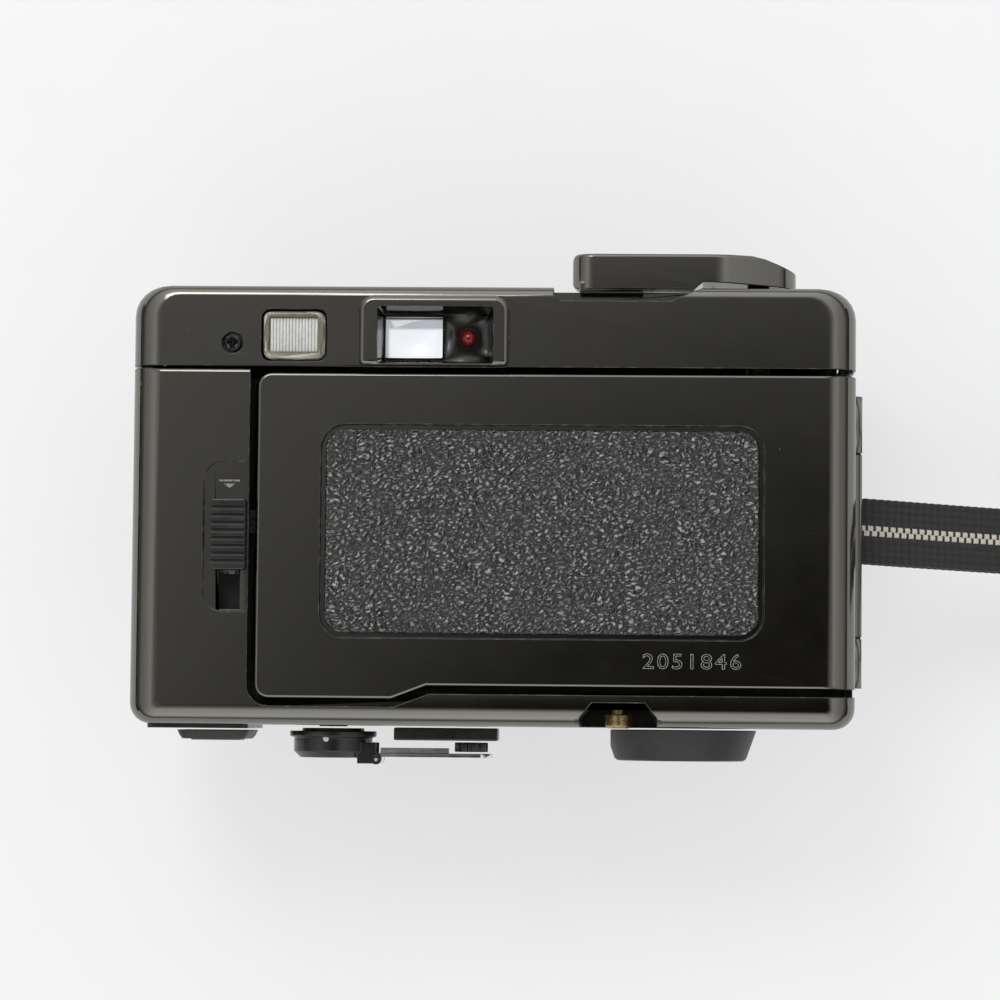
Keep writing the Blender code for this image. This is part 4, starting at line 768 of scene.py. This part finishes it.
def make_shade_liner():
    """Matt black plates inside the casing, as painted shade: they keep its seams and slots dark,
    so that nothing shows through them.
    """
    bm = bmesh.new()
    seam_low, seam_high = COVER_LOW.y - SEAM_BELOW, COVER_LOW.y + SEAM_ABOVE
    inner_left, inner_right = COVER_LOW.x + LINER_WALL, COVER_HIGH.x - LINER_WALL

    # Along both ends of the cover's seam
    for x in (inner_left, inner_right - LINER_SHEET):
        add_box(
            bm,
            (x, seam_low, COVER_LOW.z + LINER_WALL),
            (x + LINER_SHEET, seam_high, COVER_HIGH.z - LINER_BACK),
        )

    # Behind the cover, left and right of the finder
    finder_low, finder_high = box_mm("finder_block")
    shaft_side = middle_mm("wind_shaft").x - SHAFT_CLEARANCE
    for start, end in (
        (inner_left, finder_low.x - FINDER_CLEARANCE),
        (finder_high.x + FINDER_CLEARANCE, shaft_side),
    ):
        add_box(
            bm,
            (start, seam_low, LINER_HEIGHT),
            (end, COVER_HIGH.y - LINER_WALL, LINER_HEIGHT + LINER_SHEET),
        )

    # Behind the door's gap on its hinge side
    add_box(
        bm,
        (SHELL_HIGH.x - HINGE_SIDE[0], SHELL_LOW.y + HINGE_START, LINER_HEIGHT + HINGE_PLATE[0]),
        (SHELL_HIGH.x - HINGE_SIDE[1], seam_low, LINER_HEIGHT + HINGE_PLATE[1]),
    )

    # Under the latch's slot, so that the slot shows dark like shade
    low, high = box_mm("latch_slider")
    add_box(
        bm,
        (low.x, low.y - LATCH_BELOW, SHELL_HIGH.z - LATCH_PLATE[0]),
        (high.x, high.y, SHELL_HIGH.z - LATCH_PLATE[1]),
    )
    add_piece("seam_shade_liner", mesh_of(bm), [LOOKS["matt_black"]], "casing", "matt_black")


def make_lamp_seat():
    """The dark seat round the red lamp."""
    low, high = box_mm("warning_lamp")
    centre = (low + high) / 2
    lamp_radius = (high.x - low.x) / 2
    bm = bmesh.new()
    rings = []
    for past, below in SEAT_RINGS:
        ring = []
        for i in range(SEAT_STEPS):
            angle = math.tau * i / SEAT_STEPS
            x = centre.x + (lamp_radius + past) * math.cos(angle)
            y = centre.y + (lamp_radius + past) * math.sin(angle)
            ring.append(bm.verts.new((x, y, high.z - below)))
        rings.append(ring)
    join_rings(bm, rings)
    mesh = mesh_of(bm, 60)
    add_piece("warning_lamp_seat", mesh, [LOOKS["black_plastic"]], "casing", "black_plastic")


def make_finder_pane():
    """A pane behind the eyepiece glass that glows, with the finder's view painted on it as light
    and shade.
    """
    low, high = box_mm("eyepiece_glass")
    bm = bmesh.new()
    add_box(
        bm,
        (low.x + PANE_INSET, low.y + PANE_INSET, low.z - PANE_BOTTOM),
        (high.x - PANE_INSET, high.y - PANE_INSET, low.z - PANE_TOP),
    )
    add_piece("finder_painted_light_pane", mesh_of(bm), [make_finder_painted_light()], "casing", "glass")


def make_number():
    """Seven engraved digits of a made-up number below the leather."""
    low, high = box_mm("door_leather")
    face = box_mm("back_door")[1].z
    curve = bpy.data.curves.new("number", "FONT")
    curve.body = NUMBER
    curve.size = NUMBER_HEIGHT * MM
    curve.space_character = 1.18
    curve.fill_mode = "NONE"
    curve.bevel_depth = NUMBER_LINE * MM
    curve.bevel_resolution = 1
    curve.resolution_u = 3
    text = bpy.data.objects.new("number_text", curve)
    bpy.context.scene.collection.objects.link(text)
    bpy.context.view_layer.update()
    evaluated = text.evaluated_get(bpy.context.evaluated_depsgraph_get())
    mesh = bpy.data.meshes.new_from_object(evaluated)
    bpy.data.objects.remove(text)
    mesh.materials.clear()
    xs = [v.co.x for v in mesh.vertices]
    squeeze = NUMBER_WIDTH * MM / (max(xs) - min(xs))
    start_x, start_y = high.x - NUMBER_FROM_CORNER[0], low.y - NUMBER_FROM_CORNER[1]
    place = Vector((start_x, start_y, face - 0.02)) * MM
    mesh.transform(Matrix.Translation(place) @ Matrix.Diagonal((squeeze, 1.0, 0.8, 1.0)))
    marking = make_marking("engraved_edge", (0.30, 0.295, 0.28), (0.08, 0.08, 0.075))
    add_piece("serial_digits", mesh, [marking], "door", "black_paint")


def make_latch_mark():
    """A small triangle and a bar, which show the way the latch slides."""
    x = middle_mm("latch_slider").x
    top = box_mm("latch_slider")[1].y
    face = SHELL_HIGH.z - RECESS_DEPTH
    half, start, end = BAR
    bm = bmesh.new()
    add_box(bm, (x - half, top + start, face - 0.2), (x + half, top + end, face + 0.06), 0.05)
    corners = ((-ARROW_HALF, 0.0), (0.0, -ARROW_DROP), (ARROW_HALF, 0.0))
    rings = []
    for z in (face - 0.2, face + 0.04):
        ring = [bm.verts.new((x + dx, top + ARROW_BASE + dy, z)) for dx, dy in corners]
        bm.faces.new(ring)
        rings.append(ring)
    join_rings(bm, rings)
    marking = make_marking("pale_mark", (0.22, 0.22, 0.21), (0.05, 0.05, 0.05))
    add_piece("latch_mark", mesh_of(bm), [marking], "casing", "black_paint")


def make_boss_rim():
    """Fine notches round the end of the tripod boss."""
    low = box_mm("tripod_boss")[0]
    centre = middle_mm("tripod_bush")
    outline = []
    for i in range(4 * NOTCHES):
        angle = math.tau * i / (4 * NOTCHES)
        radius = NOTCH_RADIUS - (NOTCH_DEPTH if i % 4 in (2, 3) else 0.0)
        x = centre.x + radius * math.cos(angle)
        outline.append((max(x, low.x + 0.1), centre.z + radius * math.sin(angle)))
    bm = bmesh.new()
    rings = []
    for above, grow in NOTCH_LAYERS:
        rings.append([
            bm.verts.new((
                centre.x + (x - centre.x) * grow, low.y + above, centre.z + (z - centre.z) * grow,
            ))
            for x, z in outline
        ])
    join_rings(bm, rings)
    add_piece("tripod_boss_notches", mesh_of(bm, 25), [GRAINED], "casing", "black_plastic")


def make_index_dot():
    """The white dot on the side of the rewind drum, which shows that the film moves."""
    low = box_mm("rewind_drum")[0]
    centre = middle_mm("rewind_fork")
    across, up, out = DOT_PLACE
    bm = bmesh.new()
    place = Matrix.Translation((centre.x + across, low.y + up, centre.z + out))
    flatten = Matrix.Diagonal((1.0, 1.0, DOT_FLATTEN, 1.0))
    bmesh.ops.create_uvsphere(
        bm, u_segments=24, v_segments=12, radius=DOT_RADIUS, matrix=place @ flatten,
    )
    marking = make_marking("white_dot_paint", (0.78, 0.78, 0.75), (0.5, 0.5, 0.47))
    add_piece("rewind_index_dot", mesh_of(bm), [marking], "rewind", "clear_plastic")


def make_battery_grip():
    """Ridges for the thumb on the battery door."""
    low, high = box_mm("base_foot")
    bm = bmesh.new()
    for i in range(GRIP_RIDGES):
        z = low.z + GRIP_START + GRIP_PITCH * i
        add_box(
            bm,
            (low.x + GRIP_INSET, low.y - 0.22, z),
            (high.x - GRIP_INSET, low.y + 0.2, z + GRIP_WIDTH),
            0.18,
        )
    looks = [LOOKS["black_plastic"]]
    add_piece("battery_door_ridges", mesh_of(bm), looks, "battery_door", "black_plastic")


# Stage

def make_floor():
    bm = bmesh.new()
    bmesh.ops.create_grid(bm, x_segments=1, y_segments=1, size=TABLE_SIZE)
    mesh = mesh_of(bm)
    mesh.materials.append(make_table_white())
    floor = bpy.data.objects.new("table_top", mesh)
    bpy.context.scene.collection.objects.link(floor)


def make_window():
    data = bpy.data.lights.new("window", "AREA")
    data.shape = "RECTANGLE"
    data.size, data.size_y = WINDOW_SIZE
    data.energy = WINDOW_POWER
    data.color = WINDOW_COLOUR
    light = bpy.data.objects.new("window", data)
    light.location = WINDOW_PLACE
    light.rotation_euler = (-Vector(WINDOW_PLACE)).to_track_quat("-Z", "Y").to_euler()
    bpy.context.scene.collection.objects.link(light)


def make_world():
    """A white room, with a dark shape straight above where the photographer leans over."""
    world = bpy.data.worlds.new("room")
    bpy.context.scene.world = world
    world.use_nodes = True
    tree = world.node_tree
    coordinates = tree.nodes.new("ShaderNodeTexCoord")
    split = tree.nodes.new("ShaderNodeSeparateXYZ")
    feed(tree, split.inputs[0], coordinates.outputs["Generated"])

    def maths(operation, *values):
        node = tree.nodes.new("ShaderNodeMath")
        node.operation = operation
        for socket, value in zip(node.inputs, values):
            feed(tree, socket, value)
        return node.outputs[0]

    def ramp(value, stops):
        node = tree.nodes.new("ShaderNodeValToRGB")
        feed(tree, node.inputs[0], value)
        while len(node.color_ramp.elements) < len(stops):
            node.color_ramp.elements.new(0.5)
        for element, (position, shade) in zip(node.color_ramp.elements, stops):
            element.position = position
            element.color = (shade, shade, shade, 1.0)
        return node.outputs[0]

    x, y, z = split.outputs[:3]
    height = ramp(z, ROOM_BY_HEIGHT)
    sides = ramp(maths("ABSOLUTE", x), ROOM_BY_SIDE)
    off_x, off_y = maths("SUBTRACT", x, HEAD[0]), maths("SUBTRACT", y, HEAD[1])
    squares = maths("MULTIPLY", off_x, off_x), maths("MULTIPLY", off_y, off_y)
    away = maths("SQRT", maths("ADD", *squares))
    head = ramp(maths("ADD", away, maths("LESS_THAN", z, 0.0)), HEAD_SHADE)
    shade = maths("MULTIPLY", maths("MULTIPLY", height, sides), head)
    background = tree.nodes["Background"]
    feed(tree, background.inputs["Color"], shade)
    background.inputs["Strength"].default_value = ROOM_LIGHT


def make_camera():
    data = bpy.data.cameras.new("view")
    data.lens = VIEW_LENS
    data.sensor_width = VIEW_SENSOR
    data.clip_end = 20.0
    camera = bpy.data.objects.new("view", data)
    camera.location = (MIDDLE + Vector(VIEW_PLACE)) * MM
    camera.rotation_euler = [math.radians(t) for t in VIEW_TURN]
    bpy.context.scene.collection.objects.link(camera)
    bpy.context.scene.camera = camera


finish_nodes()
make_door_leather()
make_strap()
make_ready_lamp()
make_lamp_tray()
make_shade_liner()
make_lamp_seat()
make_finder_pane()
make_number()
make_latch_mark()
make_boss_rim()
make_index_dot()
make_battery_grip()
make_floor()
make_window()
make_world()
make_camera()
bpy.context.scene.view_settings.view_transform = "Standard"
